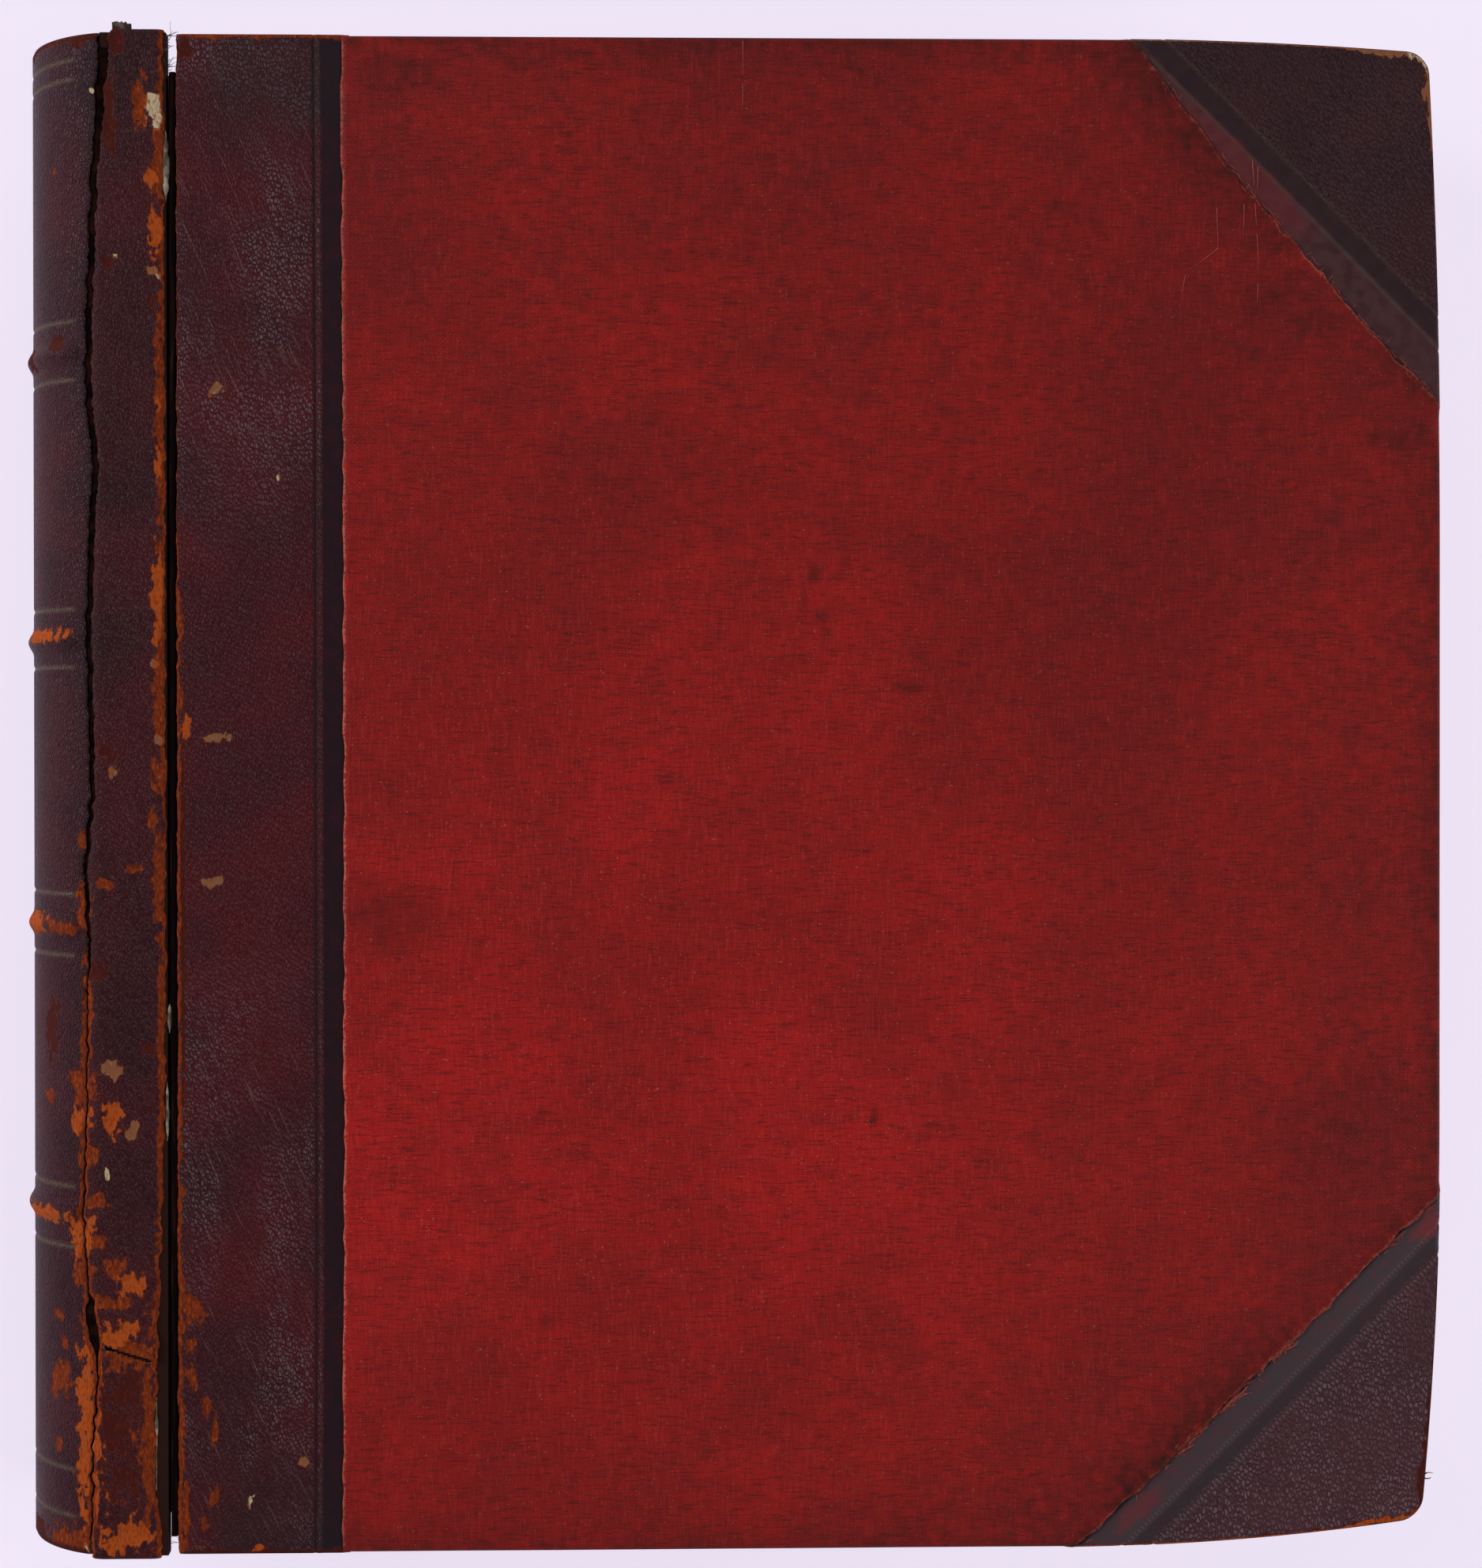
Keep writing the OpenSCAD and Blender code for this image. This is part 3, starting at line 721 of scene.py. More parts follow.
def split_edge(y, side):
    """Place along the leather of one edge of the split: -1 on the strip, 1 on the spine."""
    torn = 0.45 * wander(y, 2.3, 3) + 0.3 * wander(y, 0.9, 4)
    own = 0.12 * wander(y, 0.7, 5 + side)
    middle = from_head(y, SPLIT_Y, SPLIT_S) + torn + own
    return middle + side * from_head(y, GAP_Y, GAP_W) / 2


def above_tear(u, y):
    """How far up of the tear across the strip a place lies, a share u across it."""
    return y - TEAR_Y - 4.2 * u + 1.75


spine_leather = morocco("morocco_spine_glazed", "#2f0f18", "#45111a", "#503c48", 0.7, 0.36, 0.4)
strip_leather = morocco("morocco_strip_glazed", "#2b0d13", "#430f15", "#442429", 0.65, 0.16, 0.48)
hide_edge = raw_hide("russet_hide_torn")

# The strip between the two splits, wrapped round both ends of its narrow board, and torn
# across near the tail
strip_lo, strip_hi = box_mm("front_strip_leather")
strip_end = strip_hi[1]
strip_deep = strip_hi[2] - strip_lo[2]
TEAR_Y = -133.0
run = strip_end + strip_deep + TURN_IN
share = np.linspace(0, 1, 37)
share = 0.5 * share + 0.5 * (0.5 - 0.5 * np.cos(math.pi * share))
strip = flat_grid("front_strip_covering", share,
                  stations(-run, run, 0.7, near=(-strip_end, strip_end, TEAR_Y), reach=8,
                           fine=0.42))
drop_faces(strip, lambda a, b: abs(above_tear(a, b)) < 0.5 and 0.1 < a < 0.93)
u, t = flat_places(strip)
past, down = folded_over(np.abs(t) - strip_end, strip_deep)
y = np.sign(t) * (strip_end + past)
torn_x = from_head(y, STRIP_EDGE_Y, STRIP_EDGE_X)
torn_x += 0.35 * wander(y, 2.1, 11) + 0.25 * wander(y, 0.8, 12)
from_joint = edge_x - torn_x
from_split = split_edge(y, -1)
s = from_joint + u * (from_split - from_joint)
x, z, out_x, out_z = along_leather(s)
to_joint, to_split = s - from_joint, from_split - s
lift = 0.1 * wander(y, 11, 13) * np.sin(math.pi * u)
lift -= 0.5 * np.exp(-to_joint / 0.6) + 0.3 * np.exp(-to_split / 0.4)
worn, tone = paint_rubbed(s, y, RUBBED)
lower = np.clip((-30 - y) / 30, 0, 1)
worn, tone = edge_worn(worn, tone, to_joint, 0.9 + 0.5 * wander(y, 5, 14), RUSSET)
split_wear = 0.1 + 0.9 * lower + 0.3 * wander(y, 4, 15)
worn, tone = edge_worn(worn, tone, to_split + 1 - lower, split_wear, RUSSET)
torn_off = np.clip(above_tear(u, y) / 0.4, 0, 1)
flap = torn_off * np.clip(1 - (y - TEAR_Y) / 11, 0, 1)
lift += 0.75 * flap * np.clip(-s / 4, 0, 1) - 0.15 * (1 - torn_off) * (np.abs(y - TEAR_Y) < 4)
tattered = np.clip(1 - np.abs(y + 153) / 21, 0, 1) ** 0.3
worn = np.maximum(worn, 0.42 * tattered)
lift -= 0.25 * np.clip(worn * 2 - 1, 0, 1)
lift *= upright_share(down)
bend_mesh(strip, (x + out_x * (lift - down), y, z + out_z * (lift - down)),
          {"worn": worn, "tone": tone, "rubbed_and_sheen": np.full_like(s, 0.25)}, flip=True)
thicken(strip, STRIP_T, strip_leather, hide_edge)
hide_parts("front_strip_leather")
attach(strip, "spine_block")

# The rest in one skin: round the spine, over the back strip and joint, on the back board
LEATHER_ON_BOARD = 40.0
spine_end = hollow_hi[1] + LEATHER_GROW
board_end = half_h + LEATHER_GROW
joint_s = round_s + board_x - JOINT_GAP - edge_x
back_s = joint_s + JOINT_GAP
last_s = back_s + LEATHER_ON_BOARD
run = strip_end + strip_deep + TURN_IN
share = np.concatenate([np.array([0, 0.25, 0.6, 1.1, 1.7]), np.arange(2.4, last_s, 0.9), [last_s]])
skin = flat_grid("spine_covering", share / last_s,
                 stations(-run, run, 1.0, near=BAND_YS + TOOL_YS, reach=2.8, fine=0.42))
drop_faces(skin, lambda a, b: abs(a * last_s - (joint_s + back_s) / 2) < 2.5 and abs(b) > run - 8)
u, t = flat_places(skin)
flat_y = np.clip(t, -spine_end, spine_end)
from_split = split_edge(flat_y, 1)
s = from_split + u * (last_s - from_split)
on_spine = np.clip((round_s + 1 - s) / 2, 0, 1)
on_board = np.clip((s - back_s + 1.5) / 2, 0, 1)
end = strip_end + on_spine * (spine_end - strip_end) + on_board * (board_end - strip_end)
in_joint = np.exp(-((s - (joint_s + back_s) / 2) / 1.5) ** 2)
deep = strip_deep - 3.0 * on_spine - 0.3 * on_board - 2.6 * in_joint
past, down = folded_over(np.abs(t) - end, deep, 0.9)
y = np.sign(t) * (end + past)
x, z, out_x, out_z = along_leather(s)
lift, pressed = band_height(s, y)
to_split = s - from_split
lift -= 0.3 * np.exp(-to_split / 0.5)
lift -= 0.05 * in_joint
worn, tone = paint_rubbed(s, y, RUBBED)
lower = np.clip((-30 - y) / 30, 0, 1)
split_wear = 0.1 + lower + 0.3 * wander(y, 4, 16)
worn, tone = edge_worn(worn, tone, to_split + 1 - lower, split_wear, RUSSET)
ends = np.abs(y) - (end - 1.2)
worn, tone = edge_worn(worn, tone, -ends, 0.5 + 0.5 * wander(s, 6, 17), RED)
worn, tone = edge_worn(worn, tone, np.abs(s - joint_s + 0.5), 0.8 + 0.5 * wander(y, 7, 18), RUSSET)
worn, tone = edge_worn(worn, tone, np.abs(s - round_s), 0.5 + 0.5 * wander(y, 9, 19), RED)
# Greyer towards the crest of the spine: rubbed tops, and a painted sheen where the crest turns away.
grey = 0.15 + 0.85 * np.exp(-((s - round_s / 2 + 1) / 10) ** 2)
lift *= upright_share(down)
# Darkened beside the split: painted shade.
bend_mesh(skin, (x + out_x * (lift - down), y, z + out_z * (lift - down)),
          {"worn": worn, "tone": tone, "tooled": 0.8 * pressed,
           "inked_and_shade": 0.5 * np.exp(-to_split / 2.5), "rubbed_and_sheen": grey}, flip=True)
thicken(skin, SPINE_T, spine_leather, hide_edge)
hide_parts("spine_leather", "back_strip_leather", "back_leather")
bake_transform(skin)

# The lining under the split, coloured near-black as painted shade
# A strip of brown paper that joined the hollow back to the strip's board. It shows dark
# through the split.
LINING_DEEP = 0.68
LINING_S = (-3.0, 7.0)
LINING_END = 179


def glued_paper(name, pale, dark):
    """Brown lining paper, stained by glue."""
    material, tree, shader = begin_material(name, 0.9, gloss=0.0)
    place = rest_place(tree, painted=True)
    stained = blended(tree, between(tree, noise(tree, place, 3), 0.4, 0.65), dark, pale)
    surfaced(tree, shader, stained, noise(tree, place, 0.6), 0.15)
    return material


lining = flat_grid("shoulder_lining_painted_shade", np.linspace(*LINING_S, 21), stations(-LINING_END, LINING_END, 2.0))
s, y = flat_places(lining)
x, z, out_x, out_z = along_leather(s)
bend_mesh(lining, (x - out_x * LINING_DEEP, y, z - out_z * LINING_DEEP), {}, flip=True)
# Near-black paper: painted shade for the depth of the split.
thicken(lining, 0.1, glued_paper("lining_paper_painted_shade", "#1c0d09", "#0a0606"))
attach(lining, "spine_block")

# The joint linings
# Dark cloth glued to the inner faces of each board and its strip. Between them it lies
# folded up in the joint, with room to open out flat as the cover turns.
gap_x = board_x - JOINT_GAP
inner_z = box_mm("front_joint_lining")[0][2]
back_inner_z = box_mm("back_joint_lining")[1][2]
LINING_T = 0.3
FOLD_HIGH = {"front": 4.6, "back": 4.5}
FOLD_TAIL = -176
FOLD_HEAD = {"front": 172, "back": 176}


def lining_cloth(name, painted):
    """Fine black-brown cotton cloth, creased and dusty along its folds."""
    material, tree, shader = begin_material(name, 0.9, gloss=0.0)
    place = rest_place(tree, painted)
    folds = noise(tree, place, 1.2, stretch=(1, 14, 1))
    dusty = blended(tree, between(tree, folds, 0.5, 0.75), "#0e0708", "#26150f")
    lumps = maths(tree, "MULTIPLY_ADD", weave(tree, place, 0.5), 0.2, folds)
    surfaced(tree, shader, dusty, lumps, 0.25)
    return material


joint_material = lining_cloth("joint_cloth_dark", painted=True)
for side, base_z, up in (("front", inner_z, 1), ("back", back_inner_z, -1)):
    dress(f"{side}_joint_lining", lining_cloth(f"{side}_joint_cloth", painted=False))
    head = FOLD_HEAD[side]
    fold = flat_grid(f"{side}_joint_fold", np.linspace(0, 1, 25), stations(FOLD_TAIL, head, 1.6))
    u, y = flat_places(fold)
    high = FOLD_HIGH[side] + 0.05 * wander(y, 14, 21)
    lean = 0.12 * wander(y, 25, 22) - 0.12
    half = (JOINT_GAP - 2 * LINING_T - 0.3) / 2
    x = gap_x + JOINT_GAP / 2 - half * np.cos(math.pi * u) * (0.75 + 0.25 * np.abs(2 * u - 1))
    x = x + lean * np.sin(math.pi * u)
    rise = high * np.sin(math.pi * u) ** 0.35
    bend_mesh(fold, (x, y, base_z + 0.1 * up + up * rise), {}, flip=up < 0)
    thicken(fold, LINING_T, joint_material)
    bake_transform(fold)

# Torn paper and loose threads at the splits
# Slivers of the grey paper that lined the joint still stand along the strip's edge, and
# a tab of it juts from the head. Threads have come loose at both ends of the joint.
SLIVERS = [(-133.2, 149.0, 2.4, 17.0), (-132.6, -53.0, 1.8, 6.8), (-133.2, -75.0, 1.2, 14.0),
           (-135.9, -154.0, 1.1, 22.0)]
HEAD_TAB = (-143.6, 181.6, 4.6, 2.8)
# Where threads hang out: lowest and highest corner of their roots, how many, and their way
JOINT_THREADS = {
    "head": ((-134.2, 170, 53.5), (-132.4, 181, 56), 26, (1.0, 0.3, 0.2)),
    "tail": ((-135.2, -179, 52), (-132.6, -175, 55), 16, (0.7, -0.7, 0.1)),
}


def loose_threads(name, roots, ways, lengths, thick, seed, slack=0.22):
    """Loose threads as one mesh: each a bent three-sided tube that thins towards its end."""
    rng = np.random.default_rng(seed)
    roots, ways = np.array(roots, float), np.array(ways, float)
    ways /= np.linalg.norm(ways, axis=1)[:, None]
    share = np.linspace(0, 1, 6)
    bend = rng.normal(0, slack, (len(roots), 2, 3)) * (1, 1, min(slack, 0.22) / 0.22)
    path = roots[:, None] + np.array(lengths)[:, None, None] * (
        share[None, :, None] * ways[:, None] + share[None, :, None] ** 2 * bend[:, :1]
        + np.sin(5 * share)[None, :, None] * 0.3 * bend[:, 1:])
    turn = np.arange(3) * 2 * math.pi / 3
    ring = np.stack([np.cos(turn), np.sin(turn), np.sin(turn + 0.8)], -1) * thick / 2
    places = path[:, :, None] + ring[None, None] * (1 - 0.7 * share)[None, :, None, None]
    index = np.arange(places[..., 0].size).reshape(places.shape[:3])
    after = np.roll(index, -1, axis=2)
    quads = np.stack([index[:, :-1], after[:, :-1], after[:, 1:], index[:, 1:]], -1)
    points = places.reshape(-1, 3)
    piece = quad_mesh(name, points * MM, quads)
    paint_values(piece.data, {"rest": points})
    return piece


paper_shreds = glued_paper("shreds_paper_grey", "#8f8577", "#4a3f35")
for k, (mid_x, mid_y, wide, long) in enumerate(SLIVERS):
    sliver = flat_grid(f"joint_paper_sliver_{k + 1}", np.linspace(-1, 1, 9), np.linspace(-1, 1, 60))
    a, b = flat_places(sliver)
    y = mid_y + b * long / 2
    taper = (1 - np.abs(b) ** 3) * (0.75 + 0.35 * wander(y, 1.7, 23 + k))
    x = mid_x + a * taper * wide / 2
    curl = 0.5 * np.cos(a * 1.6) + 0.25 * wander(y, 3, 29 + k)
    bend_mesh(sliver, (x, y, np.full_like(x, top_z - 1.0) + curl), {})
    thicken(sliver, 0.12, paper_shreds)
    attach(sliver, "spine_block")
tab = flat_grid("strip_head_tab", np.linspace(-1, 1, 24), np.linspace(-1, 1, 14))
a, b = flat_places(tab)
notched = 0.35 * wander(a * 10, 2.0, 35) * (b + 1) / 2
bend_mesh(tab, (HEAD_TAB[0] + a * HEAD_TAB[2] / 2, HEAD_TAB[1] + (b + notched) * HEAD_TAB[3] / 2,
                top_z - 1.6 + 0.35 * b + 0.2 * a), {})
thicken(tab, 0.3, glued_paper("tab_paper_dark", "#6b5b52", "#3a2b26"))
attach(tab, "spine_block")

thread_cloth = linen_woven("loose_threads_dark", "#4a2c22", "#1c1110", 0.3, painted=True)
rng = np.random.default_rng(36)
for end, (low, high, count, way) in JOINT_THREADS.items():
    roots = rng.uniform(low, high, (count, 3))
    ways = np.array(way) + rng.normal(0, 0.5, (count, 3))
    threads = loose_threads(f"joint_threads_{end}", roots, ways, rng.uniform(1.2, 4.0, count),
                            0.22, 37)
    threads.data.materials.append(thread_cloth)
    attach(threads, "spine_block")

# The leather on the front board
# The same skin, goatskin of a larger grain, torn off along the joint. A blind line and a
# burnished band, pressed with a hot iron, run along the cloth, whose edge lies over it.
LEATHER_SHOWN = 39.3
cloth_x = board_x + LEATHER_SHOWN
SKIN_FROM = -132.5
TORN_X = -130.65
BLIND_X = -97.8
BURNISHED = (-96.7, -91.2)
COVER_DEEP = 4.8
BOARD_MARKS = [
    (-121, 96.2, 4.4, 2.2, TAN), (-120.5, 13.5, 6.5, 2.2, TAN), (-122.4, -20.5, 4.4, 2.6, TAN),
    (-106.6, 75.5, 1.2, 1.4, CREAM), (-112.7, -166.6, 1.6, 1.6, CREAM), (-113.5, -168.5, 1, 1.4, CREAM),
    (-100.9, -158.2, 2.6, 2, TAN), (-128.5, 16, 2, 5, ORANGE), (-129.3, -30, 1.2, 90, RED),
    (-127.6, -122, 5, 6, RUSSET), (-127.8, -131, 2.4, 3.6, RUSSET), (-127.6, -138, 2.6, 5, RUSSET),
    (-124.2, -145, 2.4, 5, RUSSET), (-121.8, -150, 1.6, 6, RUSSET), (-128.8, -170.5, 1.6, 17, RUSSET),
    (-121.8, -166, 2.4, 4, RUSSET), (-124.6, -172.5, 2, 3, RUSSET), (-112.3, -179.4, 3, 2.2, ORANGE),
    (-128, 176.5, 3, 4, RED),
]


def outline_past(x, y, grow):
    """How far a point of the plan lies past a board's covered edge, and the way out."""
    r = CORNER_R + grow
    dx, dy = x - (fore_x + grow - r), np.abs(y) - (half_h + grow - r)
    corner = (dx > 0) & (dy > 0)
    far = np.maximum(np.hypot(dx, dy), 1e-6)
    past = np.where(corner, far, np.maximum(dx, dy)) - r
    way_x = np.where(corner, dx / far, (dx > dy) * 1.0)
    way_y = np.where(corner, dy / far, (dx <= dy) * 1.0) * np.sign(y)
    return past, way_x, way_y


def over_board(x, y, grow, lift, side):
    """Lays flat points over a board: outer face, edge and turn-in, with a lift."""
    past, way_x, way_y = outline_past(x, y, grow)
    along, down = folded_over(past, COVER_DEEP)
    out = along - past + lift * np.sin(np.clip(down / 2, 0, 1) * math.pi / 2)
    px, py = bowed(x + way_x * out, y + way_y * out, side)
    z = top_z - down + lift * upright_share(down)
    return px, py, z if side == "front" else top_z - z


back_leather = morocco("morocco_back_glazed", "#2c131c", "#3e161c", "#4c3a41", 0.75, 0.25, 0.42)
board_leather = morocco("morocco_board_glazed", "#360f17", "#4e0e15", "#52434a", 0.72, 0.3, 0.48)
run = half_h + COVER_DEEP + TURN_IN
side_skin = flat_grid("front_leather_side",
                      stations(SKIN_FROM, cloth_x + 2, 1.0, near=(board_x, BLIND_X, *BURNISHED),
                               reach=1.5),
                      stations(-run, run, 1.0, near=(-half_h, half_h), reach=4, fine=0.42))
x0, t = flat_places(side_skin)
past, down = folded_over(np.abs(t) - board_end, COVER_DEEP)
y = np.sign(t) * (board_end + past)
torn = TORN_X + 0.2 * wander(y, 2.5, 31) + 0.15 * wander(y, 0.9, 32)
x = np.maximum(x0, torn)
edge = np.exp(-(x - torn) / 0.7)
lift = -0.45 * edge + 0.06 * wander(y, 13, 33) * np.sin((x + 110) / 6)
blind = np.exp(-((x - BLIND_X) / 0.45) ** 2)
burnish = np.clip((x - BURNISHED[0]) / 0.8, 0, 1) * np.clip((cloth_x + 2 - x) / 0.5, 0, 1)
under_cloth = np.clip((x - BURNISHED[1]) / 1.0, 0, 1)
lift += -0.35 * blind - 0.12 * burnish - 0.4 * under_cloth
worn, tone = paint_rubbed(x, y, BOARD_MARKS)
raw = np.clip((70 - y) / 30, 0.1, 1)
worn, tone = edge_worn(worn, tone, x - torn, raw * (1.0 + 0.6 * wander(y, 6, 34)), RUSSET)
worn, tone = edge_worn(worn, tone, board_end - 0.3 - np.abs(y), 0.9 + 0.7 * wander(x, 5, 35),
                       np.where(y > 0, RUSSET, RED))
grey = 1.25 * np.clip((np.abs(y - 10) - 45) / 40, 0, 1)
lift *= upright_share(down)
bx, by = bowed(x, y, "front")
bend_mesh(side_skin, (bx, by, top_z - down + lift),
          {"worn": worn, "tone": tone, "smooth": np.maximum(burnish, blind), "rubbed_and_sheen": grey,
           "inked_and_shade": 0.5 * np.clip((np.abs(y + 5) - 150) / 22, 0, 1) * np.clip((x + 125) / 6, 0, 1),
           "tooled": 0.08 * np.exp(-((x - BURNISHED[0]) / 0.3) ** 2)})
thicken(side_skin, COVER_T, board_leather, hide_edge)
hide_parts("front_leather")
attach(side_skin, "front_cover")

# The corners
# Triangles of the same skin over the fore-edge corners, turned in all round. Beside the
# cloth they are burnished, then blind-tooled; their tips are worn to the hide and board.
# For each corner: legs of the cloth's cut along X and Y, leg of the line that the tooling is
# measured from, places of its two lines, whether they are dotted, and its dark band
CORNERS = {
    ("front", "head"): ((73.0, 86.5), 72.8, (0.3, 6.1), False, (0.7, 5.7)),
    ("front", "tail"): ((85.1, 81.8), 86.5, (9.4, 14.9), True, (10.1, 13.8)),
    ("back", "head"): ((85.0, 85.0), 85.0, (9.4, 14.9), True, (10.1, 13.8)),
    ("back", "tail"): ((85.0, 85.0), 85.0, (9.4, 14.9), True, (10.1, 13.8)),
}
END_WAY = {"head": 1, "tail": -1}
# How dark that band is, and how far the skin is worn from the tip
INK = {"head": 0.65, "tail": 0.45}
TIP_WORN = {"head": 11, "tail": 8}
# How far the cloth's cut is hollow in its middle, and how far the leather laps under it
HOLLOW = {("front", "head"): 2.2}
LAP = 3.8
# Crimson left by the cloth's glue: middle along and across the cut, length, width, strength
STUCK = {("front", "tail"): [(17, 5.4, 14, 4.6, 0.38), (110, 7.7, 9, 4.6, 0.6)],
         ("front", "head"): [(40, -3.2, 46, 7.5, 0.3)]}
CORNER_TURN = 4.4


def cut_mesh(piece, points, normal, drop=False):
    """Adds edges to a flat mesh along parallel lines, or drops what lies ahead of a line."""
    work = bmesh.new()
    work.from_mesh(piece.data)
    for point in points:
        bmesh.ops.bisect_plane(work, geom=work.verts[:] + work.edges[:] + work.faces[:],
                               dist=0.01, plane_co=(*point, 0), plane_no=(*normal, 0),
                               clear_outer=drop)
    work.to_mesh(piece.data)
    work.free()


def corner_cut(legs, end, past=0.0):
    """A point and the outward way of the line across a corner that has legs of two lengths."""
    point = np.array([fore_x + LEATHER_GROW - legs[0], END_WAY[end] * (half_h + LEATHER_GROW)])
    normal = np.array([legs[1], END_WAY[end] * legs[0]]) / math.hypot(*legs)
    return point + normal * past, normal


def from_cut(x, y, legs, end, past=0.0):
    """Places of points along such a line, and how far outwards of it they lie."""
    point, normal = corner_cut(legs, end, past)
    along = (x - point[0]) * abs(normal[1]) - END_WAY[end] * (y - point[1]) * normal[0]
    return along, (x - point[0]) * normal[0] + (y - point[1]) * normal[1]


def hollowed(place, side, end):
    """How far the cloth's cut lies back at a place along it."""
    legs = CORNERS[side, end][0]
    return HOLLOW.get((side, end), 0) * np.sin(math.pi * np.clip(place / math.hypot(*legs), 0, 1))


corner_leather = {
    ("front", "head"): morocco("morocco_corner_browned", "#2a161b", "#371b20", "#463536", 0.75, 0.22,
                               0.48, smooth="#40282a", stained=0.6),
    ("front", "tail"): morocco("morocco_corner_glazed", "#42262c", "#502a32", "#6c5a62", 0.85, 0.42,
                               0.48, smooth="#3a3034", stained=0.5),
}
for (side, end), (legs, line_leg, lines, dotted, dark) in CORNERS.items():
    reach = COVER_DEEP + CORNER_TURN
    places_x, places_y = [
        stations(edge - leg - 6, edge + reach, 1.5, near=(edge + 2,), reach=7.5, fine=0.42)
        for edge, leg in zip((fore_x, half_h), legs)]
    corner = flat_grid(f"{side}_corner_{end}_leather", places_x,
                       places_y if end == "head" else -places_y[::-1])
    point, normal = corner_cut(legs, end, -LAP)
    cut_mesh(corner, [point], -normal, drop=True)
    cut_mesh(corner, [corner_cut(legs, end, d)[0] for d in (-0.4, 0, 0.4, 0.9, 1.5)], normal)
    line_legs = (line_leg, line_leg)
    square = corner_cut(line_legs, end)[1]
    cut_mesh(corner, [corner_cut(line_legs, end, line + step)[0]
                      for line in (*lines, *dark) for step in (-0.7, -0.35, 0, 0.35, 0.7)], square)
    drop_faces(corner, lambda a, b: outline_past(a, b, LEATHER_GROW)[0] > reach - 0.2)
    x, y = flat_places(corner)
    v = from_cut(x, y, line_legs, end)[1]
    place, from_cloth = from_cut(x, y, legs, end)
    from_cloth += hollowed(place, side, end)
    stuck = np.zeros_like(v)
    for mid_place, mid_v, long, wide, strength in STUCK.get((side, end), []):
        far = np.hypot((place - mid_place + 1.2 * wander(3 * v, 2.0, 63)) / (long / 2),
                       (v - mid_v + 0.8 * wander(place, 1.7, 64)) / (wide / 2))
        stuck = np.maximum(stuck, strength * np.clip((1.2 - far) / 0.35, 0, 1))
    past, _, _ = outline_past(x, y, LEATHER_GROW)
    groove = np.zeros_like(v)
    for line in lines:
        groove = np.maximum(groove, np.exp(-((v - line) / 0.35) ** 2))
    burnish = np.clip((dark[1] - v) / 0.7, 0, 1)
    burnish = np.maximum(burnish, dotted * np.exp(-((v - lines[1]) / 0.5) ** 2))
    inked_and_shade = INK[end] * np.clip((v - dark[0]) / 0.5, 0, 1) * np.clip((dark[1] - v) / 0.5, 0, 1)
    # A dark line along the cloth's cut: painted shadow under its raised edge.
    inked_and_shade = np.maximum(inked_and_shade, 0.8 * np.exp(-(from_cloth / 0.9) ** 2))
    lift = -0.28 * groove - 0.45 * np.clip((0.3 - from_cloth) / 1.0, 0, 1) - 0.08 * burnish
    tip = np.hypot(x - fore_x, np.abs(y) - half_h)
    tip_tone = np.where((end == "tail") & (np.abs(y) > half_h - 2), ORANGE, RED)
    if end == "head":
        tip_tone = np.where(tip < 4.6, CREAM, TAN)
    worn = np.clip(1.15 - tip / TIP_WORN[end], 0, 1) * np.clip((past + 3) / 3, 0, 1)
    tone = tip_tone * 1.0
    near_tip = np.clip(1 - tip / 45, 0, 1)
    rim_wear = 0.3 + 1.1 * near_tip + 0.5 * wander(x + y, 5, 41)
    worn, tone = edge_worn(worn, tone, np.abs(past), rim_wear, RED)
    if side == "front":
        worn, tone = edge_worn(worn, tone, np.abs(past + 0.4),
                               1.5 * np.clip(1 - np.abs(tip - 10) / 13, 0, 1), tip_tone)
    rows = [np.clip(1.3 - np.abs(v - line) / 0.35, 0, 1) for line in lines]
    on_row = dotted * np.maximum(0.55 * rows[0], rows[1])
    bend_mesh(corner, over_board(x, y, LEATHER_GROW, lift, side),
              {"worn": worn, "tone": tone, "smooth": burnish, "inked_and_shade": inked_and_shade, "stuck": stuck,
               "tooled": 0.3 * groove * (on_row == 0), "dotted": 0.65 * on_row,
               "along": x * square[1] - y * square[0],
               "rubbed_and_sheen": np.full_like(v, 0.55 if end == "tail" else 0.2)}, flip=side == "back")
    thicken(corner, COVER_T, corner_leather.get((side, end), back_leather), hide_edge)
    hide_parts(f"{side}_corner_{end}")
    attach(corner, f"{side}_cover")

# The cloth sides
# Crimson book cloth: plain-woven cotton, dyed and filled with starch, rolled smooth. It
# is glued over the boards, over the edges of the leather and in over the inner faces.
CLOTH_T = 0.4
CLOTH_GROW = 0.5
CLOTH_OVER = 0.8
CUT_PAST = 0.3
# Stains: middle, width, height, depth
STAINS = [
    (20.4, 52.2, 2.4, 3.6, 0.9), (18, 44, 2, 9, 0.5), (21.9, 42.4, 4.5, 3, 0.75),
    (23.4, 38.5, 2, 5, 0.5), (43, 25.5, 6, 3.6, 0.8), (1.3, 117.5, 4, 3, 0.7),
    (126.2, 105.2, 3.6, 2.2, 0.9), (35, -76.6, 1.8, 5, 0.7), (-42.4, -125.1, 4, 2.6, 0.8),
    (-48.3, -93.3, 2, 2, 0.8), (-19, 88, 7, 4, 0.5), (-11.5, 76.2, 8, 4, 0.45),
    (4.4, 75.3, 6, 5, 0.5), (-81, -28.8, 26, 16, 0.5), (-77, 170.6, 22, 12, 0.55),
    (162.3, 87.7, 16, 14, 0.6), (79, 140, 3, 3, 0.6), (-12, -97, 4, 3, 0.3),
    (-46, -178, 3, 2, 0.5), (-10, 76, 60, 30, 0.25), (140, 118, 30, 20, 0.5),
    (84, -172, 40, 12, 0.35), (150, -80, 30, 24, 0.35),
]


